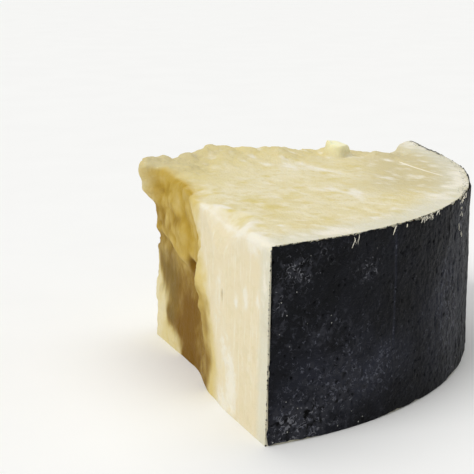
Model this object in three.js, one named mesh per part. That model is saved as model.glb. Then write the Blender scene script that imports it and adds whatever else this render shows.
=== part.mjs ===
// A quarter of a slice of a black-coated hard cheese wheel: two radial cuts that meet at
// the wheel's axis, a curved rind, and a sawn top and base. Millimetres, +Z up.
import * as THREE from "three";

// The wheel and the slice
const WHEEL_RADIUS = 150;
const OUT_OF_ROUND = { two: -0.0057, three: 0.0057 };
const SLICE_HEIGHT = 77.8;
const TOP_SLOPE = { x: -0.0117, y: 0.0221 };
const FRONT_CUT = THREE.MathUtils.degToRad(-72.3);
const FRONT_LEAN = 0.026;
const BACK_CUT = THREE.MathUtils.degToRad(21.5);

// The broken hollow in the front cut, from the tip out to its shoulder. The shoulder lies
// start from the axis and falls over spread; both change towards the top and the base.
const HOLLOW = { depth: 6, start: 82, spread: 17 };
const HOLLOW_TOP = { from: 58, shift: -2, spread: 27 };
const HOLLOW_BASE = { from: 34, shift: 12, spread: 20, rise: 1.8 };
const LEDGE = { height: 48, wave: 3, blend: 4, depth: 2.1 };
const SHOULDER = { width: 16, depth: 1.3 };
const TIP_LIP = { reach: 16, blend: 8, bottom: 60, rise: 9, inset: -1.8 };
const TIP_ROUNDING = 8;

// The bent-over top edge of the front cut
const EDGE_WIDTH = 2;
const BENT_EDGE = { at: 103, spread: 14, width: 10.5, drop: 12 };
const CHAMFER_SHARE = 0.35;

// The back cut, which was broken by hand: it swells near the tip and is hollow near the rind
const BACK_SWELL = { at: 42, spread: 18, out: 5, from: 25, blend: 40 };
const BACK_HOLLOW = { at: 119, spread: 17, depth: 6.5, from: 20, blend: 45 };
const BACK_WAVE = { size: 46, depth: 3.2 };

// Relief of the top: heights above the sawn plane
const TIP_CREST = { at: 12, spread: 9, width: 16, height: 2.9 };
const BACK_CREST = { at: 41, spread: 13, width: 20, height: 4.6 };
const BACK_SHELF = { at: 66, spread: 18, width: 22, height: 2.8 };
const BACK_DISH = { at: 128, spread: 10.5, width: 20, height: -2.6 };
const CORNER_CREST = { at: 147, spread: 7, width: 9, height: 1.2 };
const LUMP = { x: 94.2, y: 26.5, halfLength: 5.3, halfWidth: 7.5, height: 5.3, steepness: 2.6 };
const TOP_WAVE = { size: 30, height: 0.5 };

// Crumbly relief: rounded lumps of two sizes, strongest where the cheese was broken
const CRUMB = { size: 12, depth: 2.6 };
const GRAIN = { size: 7, depth: 1.3 };
const CRUMB_SEED = 11;
const GRAIN_SEED = 23;
const WAVE_SEED = 37;

const LUMP_MEAN = 0.6;

// How torn each part of the surface is, from 0 to 1
const TORN = { front: 0.55, belowLedge: 0.15, nearRind: 0.75, topEdge: 0.75, tip: 0.8 };

// Mesh: cells along each cut, rows up the walls, and how far changes reach inside
const CUT_CELLS = 36;
const WALL_ROWS = 19;
const WARP_REACH = 45;
const EDGE_BLEND = 3;
const BASE_BLEND = 4;
const BASE_MIDDLE = 0.6;
const ON_FACE = 1e-6;

const PASTE_COLOUR = 0xe4d6ab;

const alongFront = new THREE.Vector3(Math.cos(FRONT_CUT), Math.sin(FRONT_CUT), 0);
const intoFront = new THREE.Vector3(-Math.sin(FRONT_CUT), Math.cos(FRONT_CUT), 0);
const alongBack = new THREE.Vector3(Math.cos(BACK_CUT), Math.sin(BACK_CUT), 0);
const intoBack = new THREE.Vector3(Math.sin(BACK_CUT), -Math.cos(BACK_CUT), 0);

// A rise from 0 to 1 with level ends, as the value goes from 0 to 1.
function rise(value) {
  const t = THREE.MathUtils.clamp(value, 0, 1);
  return t * t * (3 - 2 * t);
}

// A round hill of height 1 about a centre.
function bell(value, centre, spread) {
  const t = (value - centre) / spread;
  return Math.exp(-t * t);
}

// Radius of the hand-turned wheel in one direction: a circle with two slow swells.
function rindRadius(angle) {
  const swell = OUT_OF_ROUND.two * Math.cos(2 * angle) + OUT_OF_ROUND.three * Math.cos(3 * angle);
  return WHEEL_RADIUS * (1 + swell);
}

// Height of the sawn top plane over a point of the plan.
function topPlane(x, y) {
  return SLICE_HEIGHT + TOP_SLOPE.x * x + TOP_SLOPE.y * y;
}

// A repeatable random share between 0 and 1 for one point of a whole-number lattice.
function latticeShare(i, j, k, seed) {
  let bits = Math.imul(i, 374761393) + Math.imul(j, 668265263);
  bits = (bits + Math.imul(k, 1274126177) + Math.imul(seed, 1446651)) | 0;
  bits = Math.imul(bits ^ (bits >>> 13), 1103515245);
  bits ^= bits >>> 16;
  return (bits >>> 0) / 4294967296;
}

// Soft waves between -1 and 1: random lattice values joined smoothly.
function waves(point, size, seed) {
  const scaled = point.clone().divideScalar(size);
  const cell = scaled.clone().floor();
  const part = scaled.sub(cell);
  const blend = [rise(part.x), rise(part.y), rise(part.z)];
  let sum = 0;
  for (let corner = 0; corner < 8; corner += 1) {
    const step = [corner & 1, (corner >> 1) & 1, corner >> 2];
    const weight = step.reduce((all, on, n) => all * (on ? blend[n] : 1 - blend[n]), 1);
    sum += weight * latticeShare(cell.x + step[0], cell.y + step[1], cell.z + step[2], seed);
  }
  return 2 * sum - 1;
}

// Rounded lumps between 0 and 1: one dome around each scattered point of a lattice.
function lumps(point, size, seed) {
  const scaled = point.clone().divideScalar(size);
  const cell = scaled.clone().floor();
  let nearest = Infinity;
  for (let n = 0; n < 27; n += 1) {
    const i = cell.x + (n % 3) - 1;
    const j = cell.y + (Math.floor(n / 3) % 3) - 1;
    const k = cell.z + Math.floor(n / 9) - 1;
    const centre = new THREE.Vector3(
      i + latticeShare(i, j, k, seed),
      j + latticeShare(i, j, k, seed + 1),
      k + latticeShare(i, j, k, seed + 2),
    );
    nearest = Math.min(nearest, centre.distanceToSquared(scaled));
  }
  return Math.max(0, 1 - nearest);
}

// Depth of the front cut below its plane, at a distance from the axis and a height.
function frontDepth(along, height) {
  const nearTop = rise((height - HOLLOW_TOP.from) / (SLICE_HEIGHT - HOLLOW_TOP.from));
  const nearBase = rise(1 - height / HOLLOW_BASE.from);
  const start = HOLLOW.start + HOLLOW_TOP.shift * nearTop + HOLLOW_BASE.shift * nearBase;
  const spread = HOLLOW.spread + HOLLOW_TOP.spread * nearTop + HOLLOW_BASE.spread * nearBase;
  const ledge = LEDGE.height + LEDGE.wave * Math.sin(along / 9);
  const floor = HOLLOW.depth
    + LEDGE.depth * rise((ledge - height) / LEDGE.blend)
    - HOLLOW_BASE.rise * nearBase;
  const lip = rise((TIP_LIP.reach - along) / TIP_LIP.blend)
    * rise((height - TIP_LIP.bottom) / TIP_LIP.rise);
  const shoulder = SHOULDER.depth * rise((start + SHOULDER.width - along) / SHOULDER.width);
  const hollow = shoulder + floor * rise((start - along) / spread);
  return THREE.MathUtils.lerp(hollow, TIP_LIP.inset, lip) + FRONT_LEAN * height;
}

// Depth of the back cut below its plane; less than nothing where it swells out.
function backDepth(along, height) {
  const swell = bell(along, BACK_SWELL.at, BACK_SWELL.spread)
    * rise((height - BACK_SWELL.from) / BACK_SWELL.blend);
  const hollow = bell(along, BACK_HOLLOW.at, BACK_HOLLOW.spread)
    * rise((height - BACK_HOLLOW.from) / BACK_HOLLOW.blend);
  const wave = waves(new THREE.Vector3(along, 0, height), BACK_WAVE.size, WAVE_SEED);
  const inside = rise((WHEEL_RADIUS - along) / 25) * rise((along - 8) / 20);
  const broad = BACK_WAVE.depth * (1 + wave) * inside;
  return BACK_HOLLOW.depth * hollow - BACK_SWELL.out * swell + broad;
}

// Rise of the top above its plane.
function topRise(point) {
  const along = point.dot(alongBack);
  const inward = point.dot(intoBack);
  let height = 0;
  for (const crest of [TIP_CREST, BACK_CREST, BACK_SHELF, BACK_DISH, CORNER_CREST]) {
    height += crest.height * bell(along, crest.at, crest.spread) * bell(inward, 0, crest.width);
  }
  const reach = Math.hypot(
    (point.x - LUMP.x) / LUMP.halfLength,
    (point.y - LUMP.y) / LUMP.halfWidth,
  );
  height += LUMP.height * rise(LUMP.steepness * (1 - reach) + 0.5);
  const plan = new THREE.Vector3(point.x, point.y, 0);
  return height + TOP_WAVE.height * waves(plan, TOP_WAVE.size, WAVE_SEED + 1);
}

// How far a point of the plain quarter lies inside each of its faces.
function depthsInside(point) {
  return {
    front: point.dot(intoFront),
    back: point.dot(intoBack),
    top: topPlane(point.x, point.y) - point.z,
  };
}

// How much each face counts at a point: 1 on the face, falling to 0 inside the cheese.
function faceShares(inside) {
  return {
    front: Math.exp(-inside.front / EDGE_BLEND),
    back: Math.exp(-inside.back / EDGE_BLEND),
    top: Math.exp(-inside.top / EDGE_BLEND),
  };
}

// How broken the surface is at a point, from 0 on a clean cut to 1 on a torn face.
function brokenShare(point, inside) {
  const front = point.dot(alongFront);
  const back = point.dot(alongBack);
  const share = faceShares(inside);
  const aboveLedge = rise((point.z - LEDGE.height + 3) / 6);
  const hollow = TORN.front * rise((HOLLOW.start + SHOULDER.width - front) / SHOULDER.width)
    * THREE.MathUtils.lerp(TORN.belowLedge, 1, aboveLedge);
  const tornBack = 1 - TORN.nearRind * rise((back - WHEEL_RADIUS + 18) / 12);
  const tornTop = TORN.topEdge * bell(inside.back, 0, 24) * rise((112 - back) / 45)
    + TORN.tip * rise((46 - Math.hypot(point.x, point.y)) / 34);
  return Math.min(1, share.front * hollow + share.back * tornBack + share.top * tornTop);
}

// Rounds the edge between two faces. A point on one face lies some way from the other;
// within the rounding it slides along its own face and sinks below it, so that both faces
// meet halfway round the bend. The bend is part arc and part chamfer.
function roundedEdge(away, ownWidth, sinkWidth) {
  const t = Math.min(1, away / ownWidth);
  const angle = (1 - t) * Math.PI / 4;
  const place = THREE.MathUtils.lerp(1 - Math.sin(angle), 0.5 * (1 + t), CHAMFER_SHARE);
  const sink = THREE.MathUtils.lerp(1 - Math.cos(angle), 0.5 * (1 - t), CHAMFER_SHARE);
  return { slide: t < 1 ? ownWidth * place - away : 0, sink: sinkWidth * sink };
}

// The top edge of the front cut: rounded, and bent well over at one place.
function roundTopEdge(point, inside, onTop, moved) {
  const bent = bell(point.dot(alongFront), BENT_EDGE.at, BENT_EDGE.spread);
  const width = EDGE_WIDTH + BENT_EDGE.width * bent;
  const drop = EDGE_WIDTH + BENT_EDGE.drop * bent;
  if (onTop) {
    const bend = roundedEdge(inside.front, width, drop);
    moved.addScaledVector(intoFront, bend.slide);
    moved.z -= bend.sink;
  } else if (inside.front < ON_FACE) {
    const bend = roundedEdge(inside.top, drop, width);
    moved.addScaledVector(intoFront, bend.sink);
    moved.z -= bend.slide;
  }
}

// The blunt tip, where the two cuts meet.
function roundTip(point, inside, moved) {
  const corner = roundedEdge(0, TIP_ROUNDING, TIP_ROUNDING).sink;
  const fade = rise(1 - Math.hypot(point.x, point.y) / (2 * TIP_ROUNDING));
  let front = corner * fade;
  let back = corner * fade;
  if (inside.front < ON_FACE) {
    const bend = roundedEdge(inside.back, TIP_ROUNDING, TIP_ROUNDING);
    front = bend.sink;
    back = bend.slide;
  } else if (inside.back < ON_FACE) {
    const bend = roundedEdge(inside.front, TIP_ROUNDING, TIP_ROUNDING);
    front = bend.slide;
    back = bend.sink;
  }
  moved.addScaledVector(intoFront, front);
  moved.addScaledVector(intoBack, back);
}

// Hollows and swells of the two cuts and the top, fading out inside the cheese.
function carve(point, inside, moved) {
  const front = frontDepth(point.dot(alongFront), point.z);
  const back = backDepth(point.dot(alongBack), point.z);
  moved.addScaledVector(intoFront, front * (1 - rise(inside.front / WARP_REACH)));
  moved.addScaledVector(intoBack, back * (1 - rise(inside.back / WARP_REACH)));
  moved.z += topRise(point) * (1 - rise(inside.top / WARP_REACH));
}

// Crumbly relief, outwards from the nearest faces.
function crumble(point, inside, moved) {
  const share = faceShares(inside);
  const outwards = new THREE.Vector3(0, 0, share.top)
    .addScaledVector(intoFront, -share.front)
    .addScaledVector(intoBack, -share.back);
  if (outwards.length() < ON_FACE) {
    return;
  }
  const crumb = CRUMB.depth * (lumps(moved, CRUMB.size, CRUMB_SEED) - LUMP_MEAN)
    + GRAIN.depth * (lumps(moved, GRAIN.size, GRAIN_SEED) - LUMP_MEAN);
  moved.addScaledVector(outwards.normalize(), crumb * brokenShare(point, inside));
}

// The finished place of a point of the plain quarter. The base stays flat.
function shaped(point, onTop) {
  const inside = depthsInside(point);
  const moved = point.clone();
  roundTopEdge(point, inside, onTop, moved);
  roundTip(point, inside, moved);
  carve(point, inside, moved);
  crumble(point, inside, moved);
  moved.z = THREE.MathUtils.lerp(point.z, moved.z, rise(point.z / BASE_BLEND));
  return moved;
}

// A square of cells laid over the quarter's plan: rings about the axis, evenly spaced,
// each shared out evenly between the two cuts.
function planPoint(i, j) {
  const ring = Math.max(i, j) / CUT_CELLS;
  let share = 0.5;
  if (i > j) {
    share = 0.5 * j / i;
  } else if (j > 0) {
    share = 1 - 0.5 * i / j;
  }
  const angle = THREE.MathUtils.lerp(FRONT_CUT, BACK_CUT, share);
  const radius = rindRadius(angle) * ring;
  return new THREE.Vector2(radius * Math.cos(angle), radius * Math.sin(angle));
}

// The square's outline in order: out along the front cut, round the rind, back to the tip.
function outlineCells() {
  const cells = [];
  for (let n = 0; n < CUT_CELLS; n += 1) {
    cells.push([n, 0]);
  }
  for (let n = 0; n < CUT_CELLS; n += 1) {
    cells.push([CUT_CELLS, n]);
  }
  for (let n = CUT_CELLS; n > 0; n -= 1) {
    cells.push([n, CUT_CELLS]);
  }
  for (let n = CUT_CELLS; n > 0; n -= 1) {
    cells.push([0, n]);
  }
  return cells;
}

// The top, as a square net of points.
function topPoints(addPoint) {
  const points = [];
  for (let i = 0; i <= CUT_CELLS; i += 1) {
    points.push([]);
    for (let j = 0; j <= CUT_CELLS; j += 1) {
      const plan = planPoint(i, j);
      const point = new THREE.Vector3(plan.x, plan.y, topPlane(plan.x, plan.y));
      points[i].push(addPoint(shaped(point, true)));
    }
  }
  return points;
}

// The walls, as rows of points from the base up to the top's own outline.
function wallPoints(addPoint, outline, top) {
  const rows = [];
  for (let row = 0; row < WALL_ROWS; row += 1) {
    rows.push(outline.map(([i, j]) => {
      const plan = planPoint(i, j);
      const height = topPlane(plan.x, plan.y) * row / WALL_ROWS;
      return addPoint(shaped(new THREE.Vector3(plan.x, plan.y, height), false));
    }));
  }
  rows.push(outline.map(([i, j]) => top[i][j]));
  return rows;
}

// The middle of the flat base, in the plan.
function basePoint() {
  const angle = (FRONT_CUT + BACK_CUT) / 2;
  const radius = BASE_MIDDLE * WHEEL_RADIUS;
  return new THREE.Vector3(radius * Math.cos(angle), radius * Math.sin(angle), 0);
}

// The whole closed surface: top, walls, and a flat base as a fan about its middle.
function quarterGeometry() {
  const positions = [];
  const triangles = [];
  const addPoint = (point) => {
    positions.push(point.x, point.y, point.z);
    return positions.length / 3 - 1;
  };
  const addCell = (a, b, c, d) => {
    triangles.push(a, b, c, a, c, d);
  };

  const top = topPoints(addPoint);
  for (let i = 0; i < CUT_CELLS; i += 1) {
    for (let j = 0; j < CUT_CELLS; j += 1) {
      addCell(top[i][j], top[i + 1][j], top[i + 1][j + 1], top[i][j + 1]);
    }
  }

  const outline = outlineCells();
  const rows = wallPoints(addPoint, outline, top);
  const middle = addPoint(basePoint());
  outline.forEach((cell, n) => {
    const next = (n + 1) % outline.length;
    triangles.push(middle, rows[0][next], rows[0][n]);
    for (let row = 0; row < WALL_ROWS; row += 1) {
      addCell(rows[row][n], rows[row][next], rows[row + 1][next], rows[row + 1][n]);
    }
  });

  const geometry = new THREE.BufferGeometry();
  geometry.setAttribute("position", new THREE.Float32BufferAttribute(positions, 3));
  geometry.setIndex(triangles);
  return geometry;
}

// The origin is the middle of the foot of the box around the quarter.
const geometry = quarterGeometry();
geometry.computeBoundingBox();
const boxMiddle = geometry.boundingBox.getCenter(new THREE.Vector3());
geometry.translate(-boxMiddle.x, -boxMiddle.y, 0);
geometry.computeVertexNormals();

const quarter = new THREE.Mesh(
  geometry,
  new THREE.MeshStandardMaterial({ color: PASTE_COLOUR, roughness: 0.55, metalness: 0 }),
);
quarter.name = "cheese_quarter";

const model = new THREE.Group();
model.name = "pecorino_romano_quarter";
model.add(quarter);

export default model;
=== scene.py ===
"""A quarter of a black-coated pecorino wheel: pale crumbly paste behind a thin charcoal rind coat.

All shapes are worked out in millimetres about the wheel's axis, with +Z up, and are moved into
the part's own frame and into metres when they become meshes.
"""
import logging
import math
from dataclasses import dataclass, field, replace
from enum import Enum

import bpy
import numpy as np
from mathutils import Matrix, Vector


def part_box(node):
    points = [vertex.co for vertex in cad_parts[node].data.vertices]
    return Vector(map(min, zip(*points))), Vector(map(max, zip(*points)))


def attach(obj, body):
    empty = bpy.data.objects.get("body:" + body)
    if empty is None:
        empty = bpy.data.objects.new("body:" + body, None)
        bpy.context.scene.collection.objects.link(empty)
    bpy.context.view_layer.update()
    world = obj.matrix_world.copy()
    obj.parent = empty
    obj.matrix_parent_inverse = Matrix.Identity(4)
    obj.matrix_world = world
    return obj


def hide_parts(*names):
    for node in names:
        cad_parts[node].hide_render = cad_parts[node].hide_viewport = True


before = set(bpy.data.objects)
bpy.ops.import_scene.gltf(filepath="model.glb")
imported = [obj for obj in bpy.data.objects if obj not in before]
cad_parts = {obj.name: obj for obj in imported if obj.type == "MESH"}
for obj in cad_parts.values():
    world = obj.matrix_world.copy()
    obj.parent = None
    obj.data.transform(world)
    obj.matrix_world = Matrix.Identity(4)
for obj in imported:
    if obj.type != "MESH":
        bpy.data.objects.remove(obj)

Array = np.ndarray

NODE = "cheese_quarter"
BODY = "root"
METRES_PER_MM = 0.001
SAW_DEGREES = -55.0
LUMP_MEAN = 0.6

log = logging.getLogger("cheese")


class Slot(Enum):
    """Names of the record's material slots."""

    PASTE = "cheese_paste"
    COAT = "rind_coat"


class Face(Enum):
    """The faces of the quarter that carry relief."""

    FRONT = "front"
    BACK = "back"
    TOP = "top"


def rise(value: Array) -> Array:
    """Rise from 0 to 1 with level ends, as the value goes from 0 to 1.

    Args:
        value: any numbers; below 0 counts as 0 and above 1 as 1.

    Returns:
        3 t squared less 2 t cubed, for t the value held between 0 and 1.
    """
    t = np.clip(value, 0.0, 1.0)
    return t * t * (3.0 - 2.0 * t)


def bell(value: Array, centre: float, spread: float) -> Array:
    """Return a round hill of height 1: e to the minus square of (value - centre) / spread."""
    return np.exp(-(((value - centre) / spread) ** 2))


def blend(low: Array, high: Array, share: Array) -> Array:
    """Return low where the share is 0, high where it is 1, and a straight mix between."""
    return low + (high - low) * share


def lattice_share(cells: Array, seed: int) -> Array:
    """Give each point of a whole-number lattice a repeatable random share.

    Args:
        cells: (n, 3) whole numbers.
        seed: which set of draws.

    Returns:
        (n,) shares from 0 to 1: the three numbers and the seed, each times a large odd number,
        added and mixed bit by bit in 32 bits.
    """
    i, j, k = (cells[:, n].astype(np.int64).astype(np.uint32) for n in range(3))
    salt = np.uint32(seed * 1446651 & 0xFFFFFFFF)
    bits = i * np.uint32(374761393) + j * np.uint32(668265263) + k * np.uint32(1274126177) + salt
    bits = (bits ^ (bits >> np.uint32(13))) * np.uint32(1103515245)
    bits = bits ^ (bits >> np.uint32(16))
    return bits / 4294967296.0


def waves(points: Array, size: float, seed: int) -> Array:
    """Work out soft waves between -1 and 1.

    Args:
        points: (n, 3) places.
        size: distance between lattice points, in the points' own unit.
        seed: which set of draws.

    Returns:
        (n,) random lattice values, joined smoothly along each axis by a rise.
    """
    scaled = points / size
    cell = np.floor(scaled)
    part = rise(scaled - cell)
    total = np.zeros(len(points))
    for corner in range(8):
        step = np.array([corner & 1, corner >> 1 & 1, corner >> 2])
        weight = np.prod(np.where(step, part, 1.0 - part), axis=1)
        total += weight * lattice_share(cell + step, seed)
    return 2.0 * total - 1.0


def neighbour_steps() -> Array:
    """Return the 27 whole-number steps from a cell to itself and its neighbours."""
    axis = np.array([-1, 0, 1])
    return np.stack(np.meshgrid(axis, axis, axis, indexing="ij"), axis=-1).reshape(-1, 3)


def lumps(points: Array, size: float, seed: int) -> Array:
    """Work out rounded lumps between 0 and 1.

    Args:
        points: (n, 3) places.
        size: cell of the lattice, and radius of a lump.
        seed: which set of draws.

    Returns:
        (n,) 1 less the squared distance to the nearest scattered point, counted in cells, and
        never under 0.
    """
    scaled = points / size
    cell = np.floor(scaled)
    nearest = np.full(len(points), np.inf)
    for step in neighbour_steps():
        near = cell + step
        centre = near + np.stack([lattice_share(near, seed + n) for n in range(3)], axis=1)
        nearest = np.minimum(nearest, np.sum((centre - scaled) ** 2, axis=1))
    return np.maximum(0.0, 1.0 - nearest)


def pits(points: Array, size: float, seed: int, share: float, radius: tuple) -> Array:
    """Work out scattered round pits.

    Args:
        points: (n, 3) places.
        size: cell of the lattice that the pits are scattered on.
        seed: which set of draws.
        share: how many of the cells hold a pit, from 0 to 1.
        radius: smallest and largest radius, in the points' own unit.

    Returns:
        (n,) 1 at the middle of a pit, falling to 0 at its rim as 1 less the squared distance.
    """
    cell = np.floor(points / size)
    deepest = np.zeros(len(points))
    for step in neighbour_steps():
        near = cell + step
        centre = near + np.stack([lattice_share(near, seed + n) for n in range(3)], axis=1)
        reach = blend(radius[0], radius[1], lattice_share(near, seed + 3))
        squared = np.sum((centre * size - points) ** 2, axis=1) / reach**2
        there = lattice_share(near, seed + 4) < share
        deepest = np.where(there, np.maximum(deepest, 1.0 - squared), deepest)
    return deepest


@dataclass(frozen=True)
class Ripple:
    """Random waves or lumps: their size, their height and which set of draws they take."""

    size: float
    height: float
    seed: int


def waved(points: Array, *ripples: Ripple) -> Array:
    """Return the sum of several sets of waves about 0."""
    return sum(r.height * waves(points, r.size, r.seed) for r in ripples)


def lumped(points: Array, *ripples: Ripple) -> Array:
    """Return the sum of several sets of lumps, each less its usual mean."""
    return sum(r.height * (lumps(points, r.size, r.seed) - LUMP_MEAN) for r in ripples)


@dataclass(frozen=True)
class Ramp:
    """A rise that starts at a value and takes so much to reach 1; falling if that is negative."""

    start: float
    over: float

    def at(self, value: Array) -> Array:
        """Return the rise at values."""
        return rise((value - self.start) / self.over)


@dataclass(frozen=True)
class Patch:
    """A smear, knob or pit: its middle and half sizes on its face, its turn and its strength."""

    across: float
    up: float
    half_across: float
    half_up: float
    turn: float = 0.0
    strength: float = 1.0

    def cover(self, across: Array, up: Array) -> Array:
        """Work out the patch's strength at places.

        Args:
            across: (n,) distances across the face.
            up: (n,) distances up the face, or one for all.

        Returns:
            (n,) the strength times a bell of the turned, scaled distance from the middle.
        """
        turn = math.radians(self.turn)
        x = (across - self.across) * math.cos(turn) + (up - self.up) * math.sin(turn)
        y = (up - self.up) * math.cos(turn) - (across - self.across) * math.sin(turn)
        return self.strength * np.exp(-((x / self.half_across) ** 2) - (y / self.half_up) ** 2)


def patches(*rows: tuple) -> tuple:
    """Return patches from rows of their numbers, in the order of the fields."""
    return tuple(Patch(*row) for row in rows)


def cover_all(several: tuple, across: Array, up: Array) -> Array:
    """Return the sum of the strengths of several patches."""
    return np.sum([patch.cover(across, up) for patch in several], axis=0)


def about_axis(radius: Array, angle: Array, height: Array) -> Array:
    """Return places at a radius, an angle and a height about the wheel's axis."""
    flat = [radius * np.cos(angle), radius * np.sin(angle)]
    return np.stack([*flat, np.broadcast_to(height, flat[0].shape)], axis=-1)


def net_quads(index: Array) -> Array:
    """Return the (n, 4) quads between neighbours of a net of point numbers."""
    sides = [index[:-1, :-1], index[1:, :-1], index[1:, 1:], index[:-1, 1:]]
    return np.stack(sides, axis=-1).reshape(-1, 4)


def laid_flat(across: Array, up: Array) -> Array:
    """Return (n, 3) points of a face laid out flat: across, up and 0."""
    return np.stack([across, up, np.zeros_like(across)], axis=1)


@dataclass(frozen=True)
class Crest:
    """A low hill or dip on the top, against the edge of the back cut, in millimetres."""

    at: float
    spread: float
    width: float
    height: float


@dataclass(frozen=True)
class Quarter:
    """The shape of the quarter in millimetres, as the solid has it.

    Two radial cuts meet at the wheel's axis, which stands at axis_x, axis_y in the part's frame.
    "Along" is a distance from the axis along a cut, and "inside" a distance from a face into the
    cheese.
    """

    radius: float = 150.0
    two_swell: float = -0.0057
    three_swell: float = 0.0057
    height: float = 77.8
    slope_x: float = -0.0117
    slope_y: float = 0.0221
    front_angle: float = math.radians(-72.3)
    front_lean: float = 0.026
    back_angle: float = math.radians(21.5)

    hollow_depth: float = 6.0
    hollow_start: float = 82.0
    hollow_spread: float = 17.0
    hollow_top_from: float = 58.0
    hollow_top_shift: float = -2.0
    hollow_top_spread: float = 27.0
    hollow_base_from: float = 34.0
    hollow_base_shift: float = 12.0
    hollow_base_spread: float = 20.0
    hollow_base_rise: float = 1.8
    ledge_height: float = 48.0
    ledge_wave: float = 3.0
    ledge_blend: float = 4.0
    ledge_depth: float = 2.1
    shoulder_width: float = 16.0
    shoulder_depth: float = 1.3
    lip_reach: float = 16.0
    lip_blend: float = 8.0
    lip_bottom: float = 60.0
    lip_rise: float = 9.0
    lip_inset: float = -1.8
    tip_rounding: float = 8.0

    edge_width: float = 2.0
    bent_at: float = 103.0
    bent_spread: float = 14.0
    bent_width: float = 10.5
    bent_drop: float = 12.0
    chamfer_share: float = 0.35

    back_swell: tuple = (42.0, 18.0, 5.0, 25.0, 40.0)
    back_hollow: tuple = (119.0, 17.0, 6.5, 20.0, 45.0)
    back_wave: Ripple = Ripple(46.0, 3.2, 37)

    crests: tuple = (
        Crest(12.0, 9.0, 16.0, 2.9),
        Crest(41.0, 13.0, 20.0, 4.6),
        Crest(66.0, 18.0, 22.0, 2.8),
        Crest(128.0, 10.5, 20.0, -2.6),
        Crest(147.0, 7.0, 9.0, 1.2),
    )
    lump_place: tuple = (93.7, 26.5)
    lump_half: tuple = (5.3, 7.5)
    lump_height: float = 5.3
    lump_steepness: float = 2.9
    top_wave: Ripple = Ripple(30.0, 0.5, 38)
    top_knobs: tuple = patches(
        (2, -2, 4, 4, 0, 2.2), (13, 5, 4, 4, 0, 0.7), (20.5, -56, 15, 5, -72, -1.5),
        (24, 8, 7, 6, 0, 1.1), (33, 11, 5, 5, 0, 0.6), (53, 15, 9, 6, 0, 1.2),
        (64.5, 18, 6, 6, 0, 2), (85.5, 29, 4.5, 5, 0, -1.6), (89.5, 26, 1.6, 4, 0, 1.8),
        (103, 32, 5.5, 5, 0, -1.9), (110.5, 29, 4, 5.5, 0, 2.4), (117.5, 27, 4.5, 6.5, 0, 1.9),
        (128.5, 42, 3, 5, 0, -1.6), (142.5, 36, 5, 8, 15, -0.4), (147, 18, 5, 13, 8, -0.7),
        (146.5, -28, 5, 9, -11, -1),
    )

    crumb: tuple = (Ripple(12.0, 2.6, 11), Ripple(7.0, 1.3, 23))

    torn_front: float = 0.55
    torn_below_ledge: float = 0.15
    torn_near_rind: float = 0.75
    torn_top_edge: float = 0.75
    torn_tip: float = 0.8

    warp_reach: float = 45.0
    edge_blend: float = 3.0
    base_blend: float = 4.0
    base_middle: float = 0.6
    on_face: float = 1e-6
    axis_x: float = 0.0
    axis_y: float = 0.0

    @classmethod
    def in_frame(cls) -> "Quarter":
        """Find where the wheel's axis stands in the part's frame.

        Returns:
            The quarter with its axis placed in millimetres, so that the rind's furthest points
            along +X and -Y lie on the sides of the solid's box.
        """
        form = cls()
        low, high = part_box(NODE)
        angle = np.linspace(form.front_angle, form.back_angle, 2001)
        rind = about_axis(form.rind_radius(angle), angle, 0.0)
        return replace(
            form,
            axis_x=high[0] / METRES_PER_MM - float(np.max(rind[:, 0])),
            axis_y=low[1] / METRES_PER_MM - float(np.min(rind[:, 1])),
        )

    def to_part(self, points: Array) -> Array:
        """Return places in the part's frame in metres, from millimetres about the axis."""
        return (points + np.array([self.axis_x, self.axis_y, 0.0])) * METRES_PER_MM

    @property
    def along_front(self) -> Array:
        """Return the direction of the front cut, from the axis out."""
        return np.array([math.cos(self.front_angle), math.sin(self.front_angle), 0.0])

    @property
    def into_front(self) -> Array:
        """Return the direction from the front cut into the cheese."""
        return np.array([-math.sin(self.front_angle), math.cos(self.front_angle), 0.0])

    @property
    def along_back(self) -> Array:
        """Return the direction of the back cut, from the axis out."""
        return np.array([math.cos(self.back_angle), math.sin(self.back_angle), 0.0])

    @property
    def into_back(self) -> Array:
        """Return the direction from the back cut into the cheese."""
        return np.array([math.sin(self.back_angle), -math.cos(self.back_angle), 0.0])

    def rind_radius(self, angle: Array) -> Array:
        """Return the wheel's radius: a circle with a two-sided and a three-sided swell."""
        swell = self.two_swell * np.cos(2.0 * angle) + self.three_swell * np.cos(3.0 * angle)
        return self.radius * (1.0 + swell)

    def top_plane(self, x: Array, y: Array) -> Array:
        """Return the height of the sawn top plane over points of the plan."""
        return self.height + self.slope_x * x + self.slope_y * y

    def top_at(self, angle: Array) -> Array:
        """Return the height of the sawn top plane on the rind."""
        radius = self.rind_radius(angle)
        return self.top_plane(radius * np.cos(angle), radius * np.sin(angle))

    def hollow_edges(self, height: Array) -> tuple:
        """Return where the hollow starts along the front cut and how far it takes to fall.

        Args:
            height: (n,) heights above the base.

        Returns:
            Start and spread, each changing by a rise towards the top and towards the base.
        """
        near_top = rise((height - self.hollow_top_from) / (self.height - self.hollow_top_from))
        near_base = rise(1.0 - height / self.hollow_base_from)
        start = self.hollow_start + self.hollow_top_shift * near_top
        spread = self.hollow_spread + self.hollow_top_spread * near_top
        start = start + self.hollow_base_shift * near_base
        return start, spread + self.hollow_base_spread * near_base

    def below_ledge(self, along: Array, height: Array) -> Array:
        """Return 0 above the ledge in the hollow and 1 below it; the ledge waves as a sine."""
        ledge = self.ledge_height + self.ledge_wave * np.sin(along / 9.0)
        return rise((ledge - height) / self.ledge_blend)

    def tip_lip(self, along: Array, height: Array) -> Array:
        """Return 1 on the lip that overhangs at the top of the tip, and 0 elsewhere."""
        reach = rise((self.lip_reach - along) / self.lip_blend)
        return reach * rise((height - self.lip_bottom) / self.lip_rise)

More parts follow.
